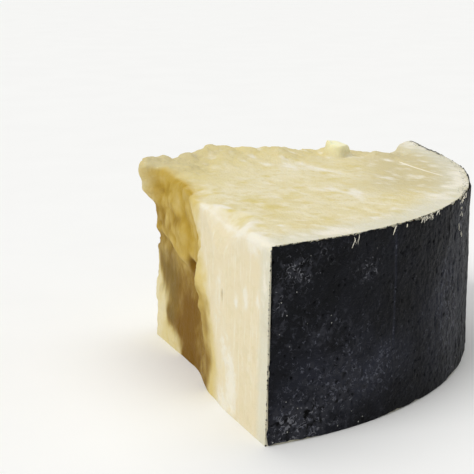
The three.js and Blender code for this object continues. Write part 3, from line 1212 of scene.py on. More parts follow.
@dataclass
class PasteBody:
    """The cheese itself: the solid's shape on a fine grid, with crumb, streaks, pits and flakes.

    Knobs and patches of the front cut are placed by distance along it and height, those of the
    top by x and y about the wheel's axis; a knob's strength is in millimetres outwards.
    """

    form: Quarter
    coat_thickness: float = 0.8
    cells: int = 170
    rows: int = 86
    sharp_degrees: float = 60.0

    # Crumb of the torn parts, and crumbs on the upright brink of the hollow.
    crumb: tuple = (Ripple(9.0, 1.5, 51), Ripple(5.0, 1.1, 61), Ripple(2.6, 0.5, 71))
    crumb_pits: tuple = (9.0, 71, 0.25, (1.0, 2.0))
    crumb_pit_depth: float = 1.1
    brink: tuple = (Ripple(4.6, 1.5, 163), Ripple(2.6, 0.8, 169))
    brink_at: float = 75.0
    brink_spread: float = 8.0
    brink_top: float = 66.0

    # Flakes, craters and cracks of the back cut.
    back_flakes: tuple = (Ripple(24.0, 1.9, 151), Ripple(8.0, 0.5, 153))
    back_step: float = 1.7
    back_craters: tuple = (13.0, 155, 0.45, (2.0, 4.4))
    back_crater_depth: float = 2.4
    back_crack_depth: float = 1.0

    # Knife streaks and one thin flake of the front cut, and the saw's scrapes on the top.
    streaks: tuple = (Ripple(2.4, 0.14, 81), Ripple(1.2, 0.07, 83))
    streak_stretch: float = 13.0
    cut_wave: Ripple = Ripple(26.0, 0.3, 85)
    flake_start: float = 101.0
    flake_end: float = 121.0
    flake_slant: float = 0.16
    flake_top: float = 21.0
    flake_depth: float = 0.7
    scrapes: tuple = (Ripple(7.0, 0.15, 91), Ripple(2.6, 0.075, 93))
    scrape_stretch: float = 3.2
    front_knobs: tuple = patches(
        (51.5, 44, 3.4, 2.6, 0, -2.8), (79.4, 24.2, 0.9, 0.9, 0, -0.8),
        (15.3, 68.5, 1.3, 1.3, 0, -0.8), (80, 45, 5, 6, 0, 3), (40, 43, 45, 3.5, 0, 1),
        (58, 80, 12, 4.5, 0, -1.6), (79, 55, 3, 4, 0, 1.2), (105, 44.5, 0.7, 3.2, 0, -0.9),
        (80, 35, 3.5, 4, 0, 1.4), (66, 70, 9, 8, 0, 0.9), (67, 57, 8, 8, 0, 1.5),
        (2, 81, 7, 3.2, 0, 1.8), (3, 70, 8, 4.5, 0, -1.6), (3, 52, 6, 4, 0, -1.2),
        (42, 57, 5, 4, 30, 1.1), (30, 66, 5, 3.5, -20, 0.9),
    )
    front_chalk: tuple = patches(
        (134, 77, 6, 7.5, 0, 1), (117, 75, 7, 5, 0, 0.6), (145, 60, 3, 9, 0, 0.4),
        (119, 46.5, 2, 3, 0, 0.65), (128, 49.5, 2.4, 5, 0, 0.65), (139, 51, 2, 4, 0, 0.6),
        (103, 50.5, 4, 5.5, 0, 0.35), (101, 38, 4.5, 9, 0, 0.25), (108, 25, 4.5, 7, 0, 0.45),
        (115, 20, 4.5, 6, 0, 0.65), (115, 9, 6, 8, 0, 0.8), (104, 3, 6, 5, 0, 0.6),
    )

    # Painted shade of the hollow, over some yellower broken paste: where it ends by height, and how it
    # fades at the foot of the tip.
    hollow_shade_heights: tuple = (0.0, 12.0, 25.0, 37.0, 49.0, 62.0, 78.0)
    golden_from: tuple = (102.0, 107.0, 103.0, 98.0, 91.0, 80.0, 78.0)
    amber_from: tuple = (93.0, 98.0, 97.0, 94.0, 84.0, 70.0, 62.0)
    hollow_shade_waver: Ripple = Ripple(7.0, 2.0, 143)
    hollow_shade_blend: float = 12.0
    foot_lean: float = 1.07
    foot_waver: float = 4.0
    foot_fade: Ramp = Ramp(26.0, 24.0)
    brown: float = 0.65
    brown_middle: tuple = (48.0, 15.0)
    brown_low: Ramp = Ramp(36.0, -16.0)
    brown_far: Ramp = Ramp(50.0, 9.0)
    brown_under_ledge: Ramp = Ramp(32.0, 18.0)
    brown_base: Ramp = Ramp(26.0, -14.0)
    drab_tip: Ramp = Ramp(40.0, -16.0)
    drab_low: Ramp = Ramp(46.0, -16.0)
    # Painted shade in the front cut's pits and in the undercut below the tip's lip.
    front_pit_shade: tuple = patches(
        (51.5, 43.5, 4.5, 3.4, 0, 1.1), (79.4, 24.2, 1, 1, 0, 0.6), (105, 44.5, 0.8, 3.2, 0, 0.6),
        (15.3, 68.5, 1.3, 1.3, 0, 0.4), (18, 57, 18, 10, 0, 0.4),
    )

    # Colours of the top, and the line that the coat leaves on the paste.
    butter_waver: Ripple = Ripple(17.0, 0.3, 161)
    dull_rind: Ramp = Ramp(88.0, 34.0)
    dull_across: Ramp = Ramp(-78.0, 45.0)
    dull_back: Ramp = Ramp(110.0, -20.0)
    scratch_from: Ramp = Ramp(-29.0, 7.0)
    scratch_to: Ramp = Ramp(13.0, -5.0)
    far_edge: Ramp = Ramp(12.0, 20.0)
    worn_edge: Ramp = Ramp(-80.0, 25.0)
    top_chalk: tuple = patches(
        (32.5, -81.6, 6, 1.6, -44, 0.9), (34.6, 3.3, 6.3, 2.4, -23, 0.45),
        (41, -8, 7, 2.2, -83, 0.55), (70.9, -4.3, 9.4, 3, -76, 0.55), (82, -6.8, 12, 3.4, -51, 0.7),
        (83.2, -52.5, 9, 4, -46, 0.45), (92, -60.1, 10, 3, -87, 0.6),
        (111.6, -26.2, 5.1, 3, 10, 0.5), (123.7, -24.3, 8, 3.4, -46, 0.35),
        (41.5, -108, 4, 5, 0, 0.6), (102.7, -85.7, 2.6, 2.6, 0, 0.6),
        (92.4, -100.2, 3, 2.6, 35, 0.6), (72.8, -118.8, 8, 3.4, -8, 0.5),
        (69.7, -125.3, 13, 3.6, 14, 0.6), (123.2, -68.7, 8, 4, -17, 0.3),
        (135.5, -46.3, 5.5, 3.4, -59, 0.7), (118, 15, 6, 2.5, -50, 0.4),
        (144, -18, 3.5, 14, -8, 0.6), (141, -36, 4, 9, -12, 0.6), (127, -62, 8, 5, 20, 0.5),
        (137, 47, 5, 5, 0, 0.5), (60.5, -4.1, 2.6, 2, -69, 0.5), (54.2, 6.4, 6.4, 2, -67, 0.45),
        (52.1, -112.8, 2.2, 1.6, 0, 0.55), (94.5, 25, 5.5, 7, 0, 0.35),
    )
    top_butter: tuple = patches(
        (110, 10, 9, 5, -20, 0.7), (119, 1, 7, 5, -30, 0.5), (122.5, -4, 9, 3.2, -62, 0.7),
        (38.3, -56.8, 6, 2.2, -74, 0.5), (44.5, -112.5, 4.5, 3, -54, 0.8),
        (67.2, -63.3, 3, 2.6, -53, 0.5), (94.8, 26, 7, 8, 0, 0.6),
    )

    def plan_net(self) -> tuple:
        """Lay a square net of cells over the quarter's plan.

        Returns:
            x and y of (cells + 1, cells + 1) points: rings about the axis, evenly spaced, each
            shared out evenly between the two cuts.
        """
        i, j = np.meshgrid(np.arange(self.cells + 1), np.arange(self.cells + 1), indexing="ij")
        largest = np.maximum(np.maximum(i, j), 1)
        share = np.where(i > j, 0.5 * j / largest, 1.0 - 0.5 * i / largest)
        share = np.where((i == 0) & (j == 0), 0.5, share)
        angle = blend(self.form.front_angle, self.form.back_angle, share)
        radius = (self.form.rind_radius(angle) - self.coat_thickness) * np.maximum(i, j) / self.cells
        return radius * np.cos(angle), radius * np.sin(angle)

    def outline(self) -> Array:
        """Return the net's outline as indices: out along the front cut, round, and back."""
        side = np.arange(self.cells)
        full = np.full(self.cells, self.cells)
        zero = np.zeros(self.cells, dtype=int)
        i = np.concatenate([side, full, self.cells - side, zero])
        j = np.concatenate([zero, side, full, self.cells - side])
        return i * (self.cells + 1) + j

    def plain_points(self) -> tuple:
        """Place the points of the plain quarter.

        Returns:
            (n, 3) points, the top's net first and then the walls' rows from the base up, and a
            mark that is True for the top.
        """
        x, y = (values.ravel() for values in self.plan_net())
        height = self.form.top_plane(x, y)
        top = np.stack([x, y, height], axis=1)
        ring = self.outline()
        level = np.arange(self.rows)[:, None] / self.rows
        wall_height = height[ring][None, :] * level
        wall_x = np.broadcast_to(x[ring], wall_height.shape)
        wall_y = np.broadcast_to(y[ring], wall_height.shape)
        walls = np.stack([wall_x, wall_y, wall_height], axis=-1).reshape(-1, 3)
        on_top = np.concatenate([np.ones(len(top), bool), np.zeros(len(walls), bool)])
        return np.concatenate([top, walls]), on_top

    def faces(self) -> list:
        """Return the quads of the top and of the walls, and the triangles of the base's fan."""
        net = np.arange((self.cells + 1) ** 2).reshape(self.cells + 1, self.cells + 1)
        ring = self.outline()
        count = len(ring)
        walls = net.size + np.arange(self.rows * count).reshape(self.rows, count)
        walls = np.vstack([walls, ring])
        after = np.roll(walls, -1, axis=1)
        sides = np.stack([walls[:-1], after[:-1], after[1:], walls[1:]], axis=-1)
        middle = np.full(count, net.size + self.rows * count)
        fan = np.stack([middle, after[0], walls[0]], axis=-1)
        return [net_quads(net), sides.reshape(-1, 4), fan]

    def base_point(self) -> Array:
        """Return the middle of the flat base."""
        angle = np.array([self.form.front_angle + self.form.back_angle]) / 2.0
        return about_axis(self.form.base_middle * self.form.radius, angle, 0.0)

    def crumbly(self, points: Array, inside: dict, torn: Array) -> Array:
        """Work out how crumbly the surface is.

        Args:
            points: (n, 3) places on the plain quarter.
            inside: depths inside the faces.
            torn: (n,) how torn the surface is in the solid.

        Returns:
            (n,) from 0 to 1: as the solid has it, or more in the hollow of the front cut,
            fully above its ledge and half as much below, and little on the lump of the back edge.
        """
        form = self.form
        front = points @ form.along_front
        height = points[:, 2]
        start = form.hollow_edges(height)[0]
        hollow = rise((start + 10.0 - front) / 24.0) * form.face_shares(inside)[Face.FRONT]
        under = rise((form.ledge_height + 5.0 - height) / 13.0) * rise((front + height - 26.0) / 20.0)
        hollow = hollow * blend(1.0, 0.45, under)
        smooth_lump = rise(1.0 - form.lump_reach(points) / 1.6)
        return np.maximum(torn, hollow) * (1.0 - 0.75 * smooth_lump)

    def crumb_height(self, moved: Array) -> Array:
        """Return crumb finer than the solid's: lumps of three sizes less round pits."""
        return lumped(moved, *self.crumb) - self.crumb_pit_depth * pits(moved, *self.crumb_pits)

    def back_relief(self, back: Array, height: Array) -> Array:
        """Work out the coarse relief of the torn back cut, in millimetres.

        Args:
            back: (n,) distances along the cut.
            height: (n,) heights.

        Returns:
            Flakes in three or four levels, from slow waves that are drawn into steps, less
            shallow craters and a few thin cracks, all fading at the rind.
        """
        level = laid_flat(back, height)
        slow = waved(level, *self.back_flakes)
        stepped = np.floor(slow) + rise((slow - np.floor(slow) - 0.4) / 0.2)
        crater = self.back_crater_depth * pits(level, *self.back_craters)
        crack = bell(waves(level / np.array([2.6, 1.0, 1.0]), 6.0, 157), 0.0, 0.07)
        crack = self.back_crack_depth * crack * rise(waves(level, 15.0, 159) * 2.0)
        total = self.back_step * stepped - crater - crack
        return total * rise((self.form.radius - 8.0 - back) / 14.0)

    def flake_edge(self, front: Array, height: Array) -> Array:
        """Return where the thin flake low on the front cut ends: a slanting, wavering line."""
        level = laid_flat(front, height)
        return self.flake_end + 0.9 * waves(level, 5.0, 87) - self.flake_slant * height

    def flake_line(self, front: Array, height: Array) -> Array:
        """Return 1 on the flake's edge, as a bell across it that ends at the flake's top."""
        line = bell(front - self.flake_edge(front, height), 0.4, 0.9)
        return line * rise((self.flake_top - height) / 3.0)

    def cut_relief(self, front: Array, height: Array) -> Array:
        """Work out the relief of the clean part of the front cut.

        Args:
            front: (n,) distances along the cut.
            height: (n,) heights.

        Returns:
            Upright knife streaks of two widths over a slow wave, less a thin flake that has
            come off low down.
        """
        level = laid_flat(front, height)
        stretched = level / np.array([1.0, self.streak_stretch, 1.0])
        streaks = waved(stretched, *self.streaks)
        slow = waved(level, self.cut_wave)
        edge = self.flake_edge(front, height)
        flake = rise((edge - front) / 0.8) * rise((self.flake_top - height) / 3.0)
        flake = flake * rise((front - self.flake_start) / 9.0)
        return streaks + slow - self.flake_depth * flake

    def brink_relief(self, moved: Array, front: Array, height: Array) -> Array:
        """Work out the crumbs on the brink of the hollow, in millimetres.

        Args:
            moved: (n, 3) places on the shaped quarter.
            front: (n,) distances along the cut.
            height: (n,) heights.

        Returns:
            Lumps of two sizes in an upright band that ends below the top.
        """
        band = bell(front, self.brink_at, self.brink_spread) * rise((self.brink_top - height) / 8.0)
        return band * lumped(moved, *self.brink)

    def past_scratch(self, points: Array) -> Array:
        """Return how far points lie beyond the old knife scratch, a shallow curve across x."""
        return points[:, 0] - (126.0 - 0.32 * points[:, 1] + 0.003 * points[:, 1] ** 2)

    def top_relief(self, points: Array) -> Array:
        """Work out the fine relief of the sawn top.

        Args:
            points: (n, 3) places on the plain quarter.

        Returns:
            Scrapes drawn out along one direction, plus a finer set, less a step of under a
            millimetre at the old knife line near the back corner.
        """
        turn = math.radians(SAW_DEGREES)
        drawn = points[:, 0] * math.cos(turn) + points[:, 1] * math.sin(turn)
        crossing = points[:, 1] * math.cos(turn) - points[:, 0] * math.sin(turn)
        level = laid_flat(drawn / self.scrape_stretch, crossing)
        scrapes = waved(level, *self.scrapes)
        beyond = rise(self.past_scratch(points) / 1.2)
        facing = rise((points[:, 1] + 32.0) / 8.0) * rise((30.0 - points[:, 1]) / 12.0)
        return scrapes - 0.7 * facing * (1.0 - beyond) * bell(points[:, 0], 121.0, 9.0)

    def hollow_marks(self, at: Spots) -> dict:
        """Work out where the front cut is clean, and where its hollow carries painted shade.

        Args:
            at: the places.

        Returns:
            Shares by name. The painted shade, over some yellower broken paste, ends along wavering
            lines, with a painted penumbra at its edge; it is weaker on the lip, and fades towards the
            foot of the tip. Below the ledge it turns brown, most of all in the middle and low down, and
            it is darker in crevices; dark places of painted shade of their own are added in pits and
            along the flake's edge. The top's brink over the hollow and crevices of the back cut get a
            little painted shade too.
        """
        form, front, height = self.form, at.front, at.height
        ragged = waved(at.points, self.hollow_shade_waver)
        # Shares where the painted penumbra and the painted shade of the hollow begin.
        golden_and_shade, hollow_shade = (
            rise((np.interp(height, self.hollow_shade_heights, line) + ragged - front) / self.hollow_shade_blend)
            for line in (self.golden_from, self.amber_from)
        )
        foot = self.foot_fade.at(front + self.foot_lean * height + self.foot_waver * ragged)
        under = form.below_ledge(front, height)
        lip = form.tip_lip(front, height)
        verge = bell(at.inside[Face.FRONT], 0.0, 8.0) * rise((80.0 - front) / 20.0)
        brown = self.brown + 0.3 * bell(front, *self.brown_middle) * self.brown_low.at(height)
        brown = brown * (1.0 - 0.15 * self.brown_far.at(front))
        brown = brown * blend(1.0, 0.4, self.brown_under_ledge.at(height))
        brown = brown + 0.12 * self.brown_base.at(height)
        # Dark brown painted shade below the ledge and in crevices.
        umber_and_shade = hollow_shade * under * brown + 0.4 * hollow_shade * at.crevice
        umber_and_shade = umber_and_shade + cover_all(self.front_pit_shade, front, height)
        # A painted shadow line along the flake's edge.
        umber_and_shade = umber_and_shade + 0.3 * self.flake_line(front, height)
        # Painted penumbra along the hollow's edge, stronger in crevices.
        golden_cut = golden_and_shade * (0.75 + 0.3 * at.crevice) * (0.4 + 0.6 * foot) * (1.0 - 0.5 * lip)
        # The hollow's painted shade, darker in crevices, over some yellower broken paste.
        amber_and_shade = hollow_shade * (1.0 - 0.75 * lip) * (0.6 + 0.5 * at.crevice) * (0.15 + 0.85 * foot)
        # Painted shadow low in the hollow near the tip.
        drab_shadow = hollow_shade * under * foot * self.drab_tip.at(front)
        return {
            "clean_cut": at.on_front * (1.0 - golden_and_shade),
            # Gold painted penumbra on the cut, painted shade on the top's brink and in back-cut
            # crevices.
            "golden_and_shade": at.on_front * golden_cut
            + at.on_top * 0.35 * verge * (1.0 - at.tip)
            + 0.55 * at.on_back * at.crevice**2,
            "amber_and_shade": at.on_front * amber_and_shade * (1.0 - 0.25 * rise((height - 76.0) / 4.0)),
            "umber_and_shade": at.on_front * umber_and_shade * (1.0 - 0.7 * lip) * foot,
            "drab_shadow": at.on_front * drab_shadow * (0.4 + 0.4 * self.drab_low.at(height)),
            "rim": 0.75 * at.near_rind(15.0, 10.0) * (1.0 - at.on_front * golden_and_shade),
            "chalk": self.chalk(at, golden_and_shade),
        }

    def chalk(self, at: Spots, golden_and_shade: Array) -> Array:
        """Work out where chalky smears show.

        Args:
            at: the places.
            golden_and_shade: (n,) share of the gold colour with its painted penumbra and shade.

        Returns:
            (n,) shares: a little everywhere, and more in patches of the clean cut and the top.
        """
        front = 0.38 + 1.1 * cover_all(self.front_chalk, at.front, at.height)
        top = 0.48 + 0.8 * cover_all(self.top_chalk, at.points[:, 0], at.points[:, 1])
        chalk = at.on_front * front * (1.0 - golden_and_shade) + at.on_top * top * (1.0 - 0.5 * at.tip)
        return np.clip(chalk, 0.0, 1.2)

    def top_marks(self, at: Spots) -> dict:
        """Work out where the top is sawn, buttery, dull or scratched, and its knob pale.

        Args:
            at: the places.

        Returns:
            Shares by name. Buttery paste shows in patches, near the tip and here and there on the
            back cut, and its colour is painted in crevices as shade; dull paste near the rind, the back
            cut and the tip.
        """
        x, y = at.points[:, 0], at.points[:, 1]
        back_edge = bell(at.inside[Face.BACK], 0.0, 26.0)
        butter_and_crevice_shade = 0.3 + cover_all(self.top_butter, x, y)
        # Crevices get the buttery colour as painted shade.
        butter_and_crevice_shade = at.on_top * (butter_and_crevice_shade + 0.3 * back_edge + 0.7 * at.tip) + 0.35 * at.crevice
        butter_and_crevice_shade = butter_and_crevice_shade + at.on_back * (0.25 + waved(at.points, self.butter_waver))
        dulled = 0.85 * self.dull_rind.at(at.from_tip) * self.dull_across.at(y)
        dulled = dulled + 0.35 * back_edge * self.dull_back.at(at.back) + 0.5 * at.tip
        lip = self.form.tip_lip(at.front, at.height)
        return {
            "sawn": at.on_top * (1.0 - 0.6 * at.tip),
            "butter_and_crevice_shade": butter_and_crevice_shade,
            "dulled": at.on_top * dulled + 0.8 * at.on_front * lip,
            "lump": rise(1.5 - self.form.lump_reach(at.points)) * at.faced,
            "scratch": 0.5 * at.on_top * self.scratch_from.at(y) * self.scratch_to.at(y),
            "scratch_side": np.clip(0.5 + self.past_scratch(at.points) / 8.0, 0.0, 1.0),
        }

    def stained(self, at: Spots) -> Array:
        """Work out where the coat has smeared the paste.

        Args:
            at: the places.

        Returns:
            (n,) shares: a line along the coat's edge, and specks next to it on the top.
        """
        far = self.far_edge.at(at.points[:, 1])
        worn = self.worn_edge.at(at.points[:, 1]) * at.on_top
        edge = (0.5 + 0.08 * far) * rise((2.2 + 1.2 * far - at.from_rind) / 1.6)
        return at.faced * np.maximum(edge, 0.42 * worn * rise((6.5 - at.from_rind) / 3.0))

    def marks(self, at: Spots) -> dict:
        """Work out where each colour of the paste shows.

        Args:
            at: the places.

        Returns:
            Shares, by name, for the finish.
        """
        upright = at.on_front + at.on_back - at.on_top * (1.0 - 1.6 * at.tip)
        own = {
            "stained": self.stained(at),
            "upright": np.clip(upright, 0.0, 1.0),
            "crumbly": at.crumbly,
        }
        return self.hollow_marks(at) | self.top_marks(at) | own

    def make(self, finish: bpy.types.Material) -> bpy.types.Object:
        """Build the body and let it stand for the solid.

        Args:
            finish: the paste's material.

        Returns:
            The finished piece.
        """
        form = self.form
        points, on_top = self.plain_points()
        inside = form.inside(points)
        moved = form.shaped(points, on_top)
        crumbly = self.crumbly(points, inside, form.broken_share(points, inside))
        crumb = self.crumb_height(moved)
        share = form.face_shares(inside)
        front = points @ form.along_front
        start = form.hollow_edges(points[:, 2])[0]
        clean = rise((front - start - 2.0) / 10.0)
        torn_back = self.back_relief(points @ form.along_back, points[:, 2]) * share[Face.BACK]
        torn_back = torn_back * (1.0 - 0.6 * share[Face.TOP])
        softer = 0.45 * share[Face.FRONT] + 0.35 * share[Face.TOP] * rise((front - 40.0) / 30.0)
        relief = crumbly * crumb * (1.0 - softer + 0.4 * share[Face.BACK]) + torn_back
        relief += share[Face.FRONT] * clean * self.cut_relief(front, points[:, 2])
        relief += share[Face.FRONT] * self.brink_relief(moved, front, points[:, 2])
        relief += share[Face.FRONT] * cover_all(self.front_knobs, front, points[:, 2])
        relief += share[Face.TOP] * (1.0 - 0.6 * crumbly) * self.top_relief(points)
        relief *= rise(points[:, 2] / 3.0)
        moved += relief[:, None] * form.outwards(inside)
        marks = self.marks(Spots.of(form, points, inside, crumbly, crumb + 0.8 * torn_back))
        marks = {name: np.append(values, 0.0) for name, values in marks.items()}
        points = np.concatenate([moved, self.base_point()])
        piece = Piece("cheese_body", points, self.faces(), marks)
        body = piece.build(form, finish, self.sharp_degrees)
        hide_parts(NODE)
        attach(body, BODY)
        return body


@dataclass
class RindCoat:
    """The black coat: a skin under a millimetre thick, full of pits and wrinkles, and chipped at its
    edges.
    """

    form: Quarter
    thickness: float = 0.8
    columns: int = 450
    rows: int = 140
    sharp_degrees: float = 50.0

    # Clusters, as rows of degrees, height, half arc, half height and strength.
    chips_below: tuple = (
        (-68.5, 0, 10, 5, 1.1), (-48.5, 0, 7, 5, 0.8), (-43, 0, 3, 5, 0.7), (-29, 0, 6, 5, 1.2),
    )
    chips_above: tuple = (
        (-41.5, 75, 4.2, 9, 1.5), (-57.8, 75, 1.6, 9, 0.7), (-49.6, 75, 1.4, 9, 0.8),
        (-30.8, 75, 2.4, 9, 0.9), (-25, 75, 5, 9, 1.6), (-15, 75, 11, 9, 2),
    )
    scuffs: tuple = (
        (-68.4, 65, 6, 5, 1), (-65.8, 60, 5, 4, 0.8), (-55, 60, 6, 5, 0.7), (-71, 52, 3, 8, 0.7),
        (-67, 6, 15, 8, 1.1), (-59.5, 13, 12, 6, 0.5), (-24, 50, 7, 16, 0.7), (-26, 66, 6, 9, 1),
        (-31, 28, 14, 24, 0.7), (-31, 5, 9, 5, 0.8), (2, 44, 20, 20, 0.5),
    )
    slates: tuple = (
        (-68, 7, 14, 8, 0.75), (-58, 22, 28, 14, 0.66), (-60, 36, 22, 9, 0.4),
        (-32, 34, 22, 26, 0.5), (5, 34, 34, 30, 0.4),
    )

    # Ring marks, as rows of degrees, height and radius.
    rings: tuple = ((-62.4, 66.4, 1.7), (-63.7, 69.5, 1.3), (-67.2, 59.7, 1.3), (-64.4, 72.6, 0.9))
    groove_degrees: float = -49.3
    far_degrees: float = -46.0

    # Ragged edges: how far they step in on the average, and how they waver.
    front_step: float = 0.8525
    front_ragged: tuple = (Ripple(1.6, 0.65, 131), Ripple(4.4, 0.3, 133))
    back_step: float = 0.6
    back_ragged: tuple = (Ripple(1.7, 0.3, 135), Ripple(5.0, 0.3, 137))
    notch_mean: float = 0.6
    notches: tuple = (Ripple(1.5, 0.35, 101), Ripple(4.2, 0.25, 103))
    proud_waver: Ripple = Ripple(2.6, 1.3, 105)

    # Relief and clouds of the skin.
    skin_waves: tuple = (Ripple(9.0, 0.16, 111), Ripple(3.4, 0.12, 113))
    skin_grain: Ripple = Ripple(2.4, 0.22, 117)
    wrinkles: Ripple = Ripple(5.4, 0.5, 123)
    far_lumps: Ripple = Ripple(4.4, 0.3, 125)
    pit_mm: float = 0.62
    scuff_patches: Ripple = Ripple(14.0, 0.5, 141)
    slate_clouds: tuple = (Ripple(22.0, 0.7, 145), Ripple(9.0, 0.5, 147))

    def covers(self, rows: tuple, arc: Array, height: Array) -> list:
        """Work out how strongly clusters of scuffs or chips cover places of the rind.

        Args:
            rows: each cluster's degrees, height, half arc, half height and strength.
            arc: (n,) distances round the rind.
            height: (n,) heights, or one height.

        Returns:
            For each cluster the strength of a bell about its middle.
        """
        middles = [math.radians(row[0]) * self.form.radius for row in rows]
        return [
            Patch(middle, *row[1:4], 0.0, row[4]).cover(arc, height)
            for middle, row in zip(middles, rows)
        ]

    def far_share(self, arc: Array, over: float) -> Array:
        """Return 0 up to the far part of the rind, rising to 1 over so many degrees."""
        return rise((np.degrees(arc / self.form.radius) - self.far_degrees) / over)

    def groove_line(self, arc: Array, height: Array, width: float) -> Array:
        """Return 1 on a wavering upright groove that fades low down, as a bell of that width."""
        middle = math.radians(self.groove_degrees) * self.form.radius
        return rise((height - 22.0) / 12.0) * bell(arc, middle + 0.25 * np.sin(height / 7.0), width)

    def ring_lines(self, arc: Array, height: Array, width: float) -> list:
        """Work out where the ring marks lie.

        Args:
            arc: (n,) distances round the rind.
            height: (n,) heights.
            width: width of a ring's line.

        Returns:
            For each ring (n,) a bell across its line.
        """
        return [
            bell(np.hypot(arc - math.radians(degrees) * self.form.radius, height - at), size, width)
            for degrees, at, size in self.rings
        ]

    def grid(self) -> tuple:
        """Return the angle and the height share of the skin's outer points, as a grid.

        The ends are ragged: the first and last angles step in by up to a millimetre, and the
        others are shared out evenly between them.
        """
        level = np.linspace(0.0, 1.0, self.rows + 1)
        line = laid_flat(level * self.form.height, np.zeros_like(level))
        front = self.front_step + waved(line, *self.front_ragged)
        back = self.back_step + waved(line, *self.back_ragged)
        first = self.form.front_angle + front / self.form.radius
        last = self.form.back_angle - back / self.form.radius
        share = np.linspace(0.0, 1.0, self.columns + 1)[:, None]
        angle = blend(first[None, :], last[None, :], share)
        return angle, np.broadcast_to(level, angle.shape)

    def edge_heights(self, arc: Array, top: Array) -> tuple:
        """Work out the ragged lower and upper edges of the coat.

        Args:
            arc: (n,) distances round the rind.
            top: (n,) heights of the sawn top there.

        Returns:
            Lower and upper heights: fine notches of under a millimetre, plus the chips. On the
            far side the upper edge stands a little proud of the sawn top.
        """
        line = laid_flat(arc, np.zeros_like(arc))
        fine = self.notch_mean + waved(line, *self.notches)
        low = 0.02 + 0.14 * fine
        proud = 0.15 * rise((arc / self.form.radius + math.radians(22.0)) / 0.3)
        proud = proud * np.clip(0.45 + waved(line, self.proud_waver), 0.0, 1.0)
        high = top + 0.15 - 0.85 * fine + proud
        low = low + sum(self.covers(self.chips_below, arc, 0.0)) * (0.3 + 0.6 * fine)
        return low, high - sum(self.covers(self.chips_above, arc, 75.0)) * (0.1 + fine)

    def pit_depth(self, level: Array) -> Array:
        """Work out how deep the coat's pits are.

        Args:
            level: (n, 3) places of the rind laid flat.

        Returns:
            (n,) shares from 0 to 1: pits of two sizes, and long upright ones far round.
        """
        large = pits(level, 8.5, 121, 0.8, (0.6, 1.3))
        small = 0.8 * pits(level, 3.0, 127, 0.9, (0.4, 0.75))
        far = self.far_share(level[:, 0], 16.0)
        long = far * pits(level * np.array([1.0, 0.42, 1.0]), 3.6, 129, 0.8, (0.5, 0.9))
        return np.maximum(np.maximum(large, small), long)

    def relief(self, arc: Array, height: Array, pit: Array) -> Array:
        """Work out the coat's relief.

        Args:
            arc: (n,) distances round the rind.
            height: (n,) heights.
            pit: (n,) depths of the pits, as shares.

        Returns:
            Millimetres outwards: slow waves, a leathery grain of small lumps, upright wrinkles
            and coarser lumps that grow towards the far end, round pits, a few ring marks and
            one fine groove.
        """
        level = laid_flat(arc, height)
        total = waved(level, *self.skin_waves) + lumped(level, self.skin_grain)
        far = self.far_share(arc, 20.0)
        upright = level / np.array([1.0, 3.0, 1.0])
        total += (0.05 + 0.3 * far) * waves(upright, 3.0, 119)
        total += far * (waved(upright, self.wrinkles) + lumped(level, self.far_lumps))
        total -= self.pit_mm * pit
        total += 0.2 * sum(self.ring_lines(arc, height, 0.4))
        return total - 0.16 * self.groove_line(arc, height, 0.35)

    def marks(self, arc: Array, height: Array, pit: Array) -> dict:
        """Work out where scuffs, specks and the slate cast show, where shade is painted in the pits,
        and where the leathery grain and the painted highlights on its upright streaks grow.

        Args:
            arc: (n,) distances round the rind.
            height: (n,) heights.
            pit: (n,) depths of the pits, as shares.

        Returns:
            Shares, by name, for the finish.
        """
        scuffed = np.max(self.covers(self.scuffs, arc, height), axis=0)
        slate = np.max(self.covers(self.slates, arc, height), axis=0)
        line = 0.5 * self.groove_line(arc, height, 0.5)
        level = laid_flat(arc, height)
        patchy = 0.5 + waved(level, self.scuff_patches)
        cloudy = np.clip(0.5 + waved(level, *self.slate_clouds), 0.0, 1.0)
        return {
            "scuffed": np.clip(0.15 + scuffed * (0.5 + 0.7 * patchy), 0.0, 1.0),
            "ringed": 0.6 * np.max(self.ring_lines(arc, height, 0.45), axis=0),
            "slate": np.clip(0.15 + slate * (0.45 + 0.9 * cloudy) + line, 0.0, 1.0),
            "mottled": np.clip(0.35 + 0.6 * slate + 0.5 * scuffed + 0.3 * (patchy - 0.5), 0.0, 1.0),
            # Also how far the painted highlights on upright streaks reach.
            "leathery": 0.5 + 0.8 * self.far_share(arc + math.radians(2.0) * self.form.radius, 20.0),
            # Painted shade in the pits.
            "pit_shade": np.clip(pit, 0.0, 1.0),
            "specked": 0.3 + 0.35 * patchy + 0.2 * rise((8.0 - height) / 8.0),
        }

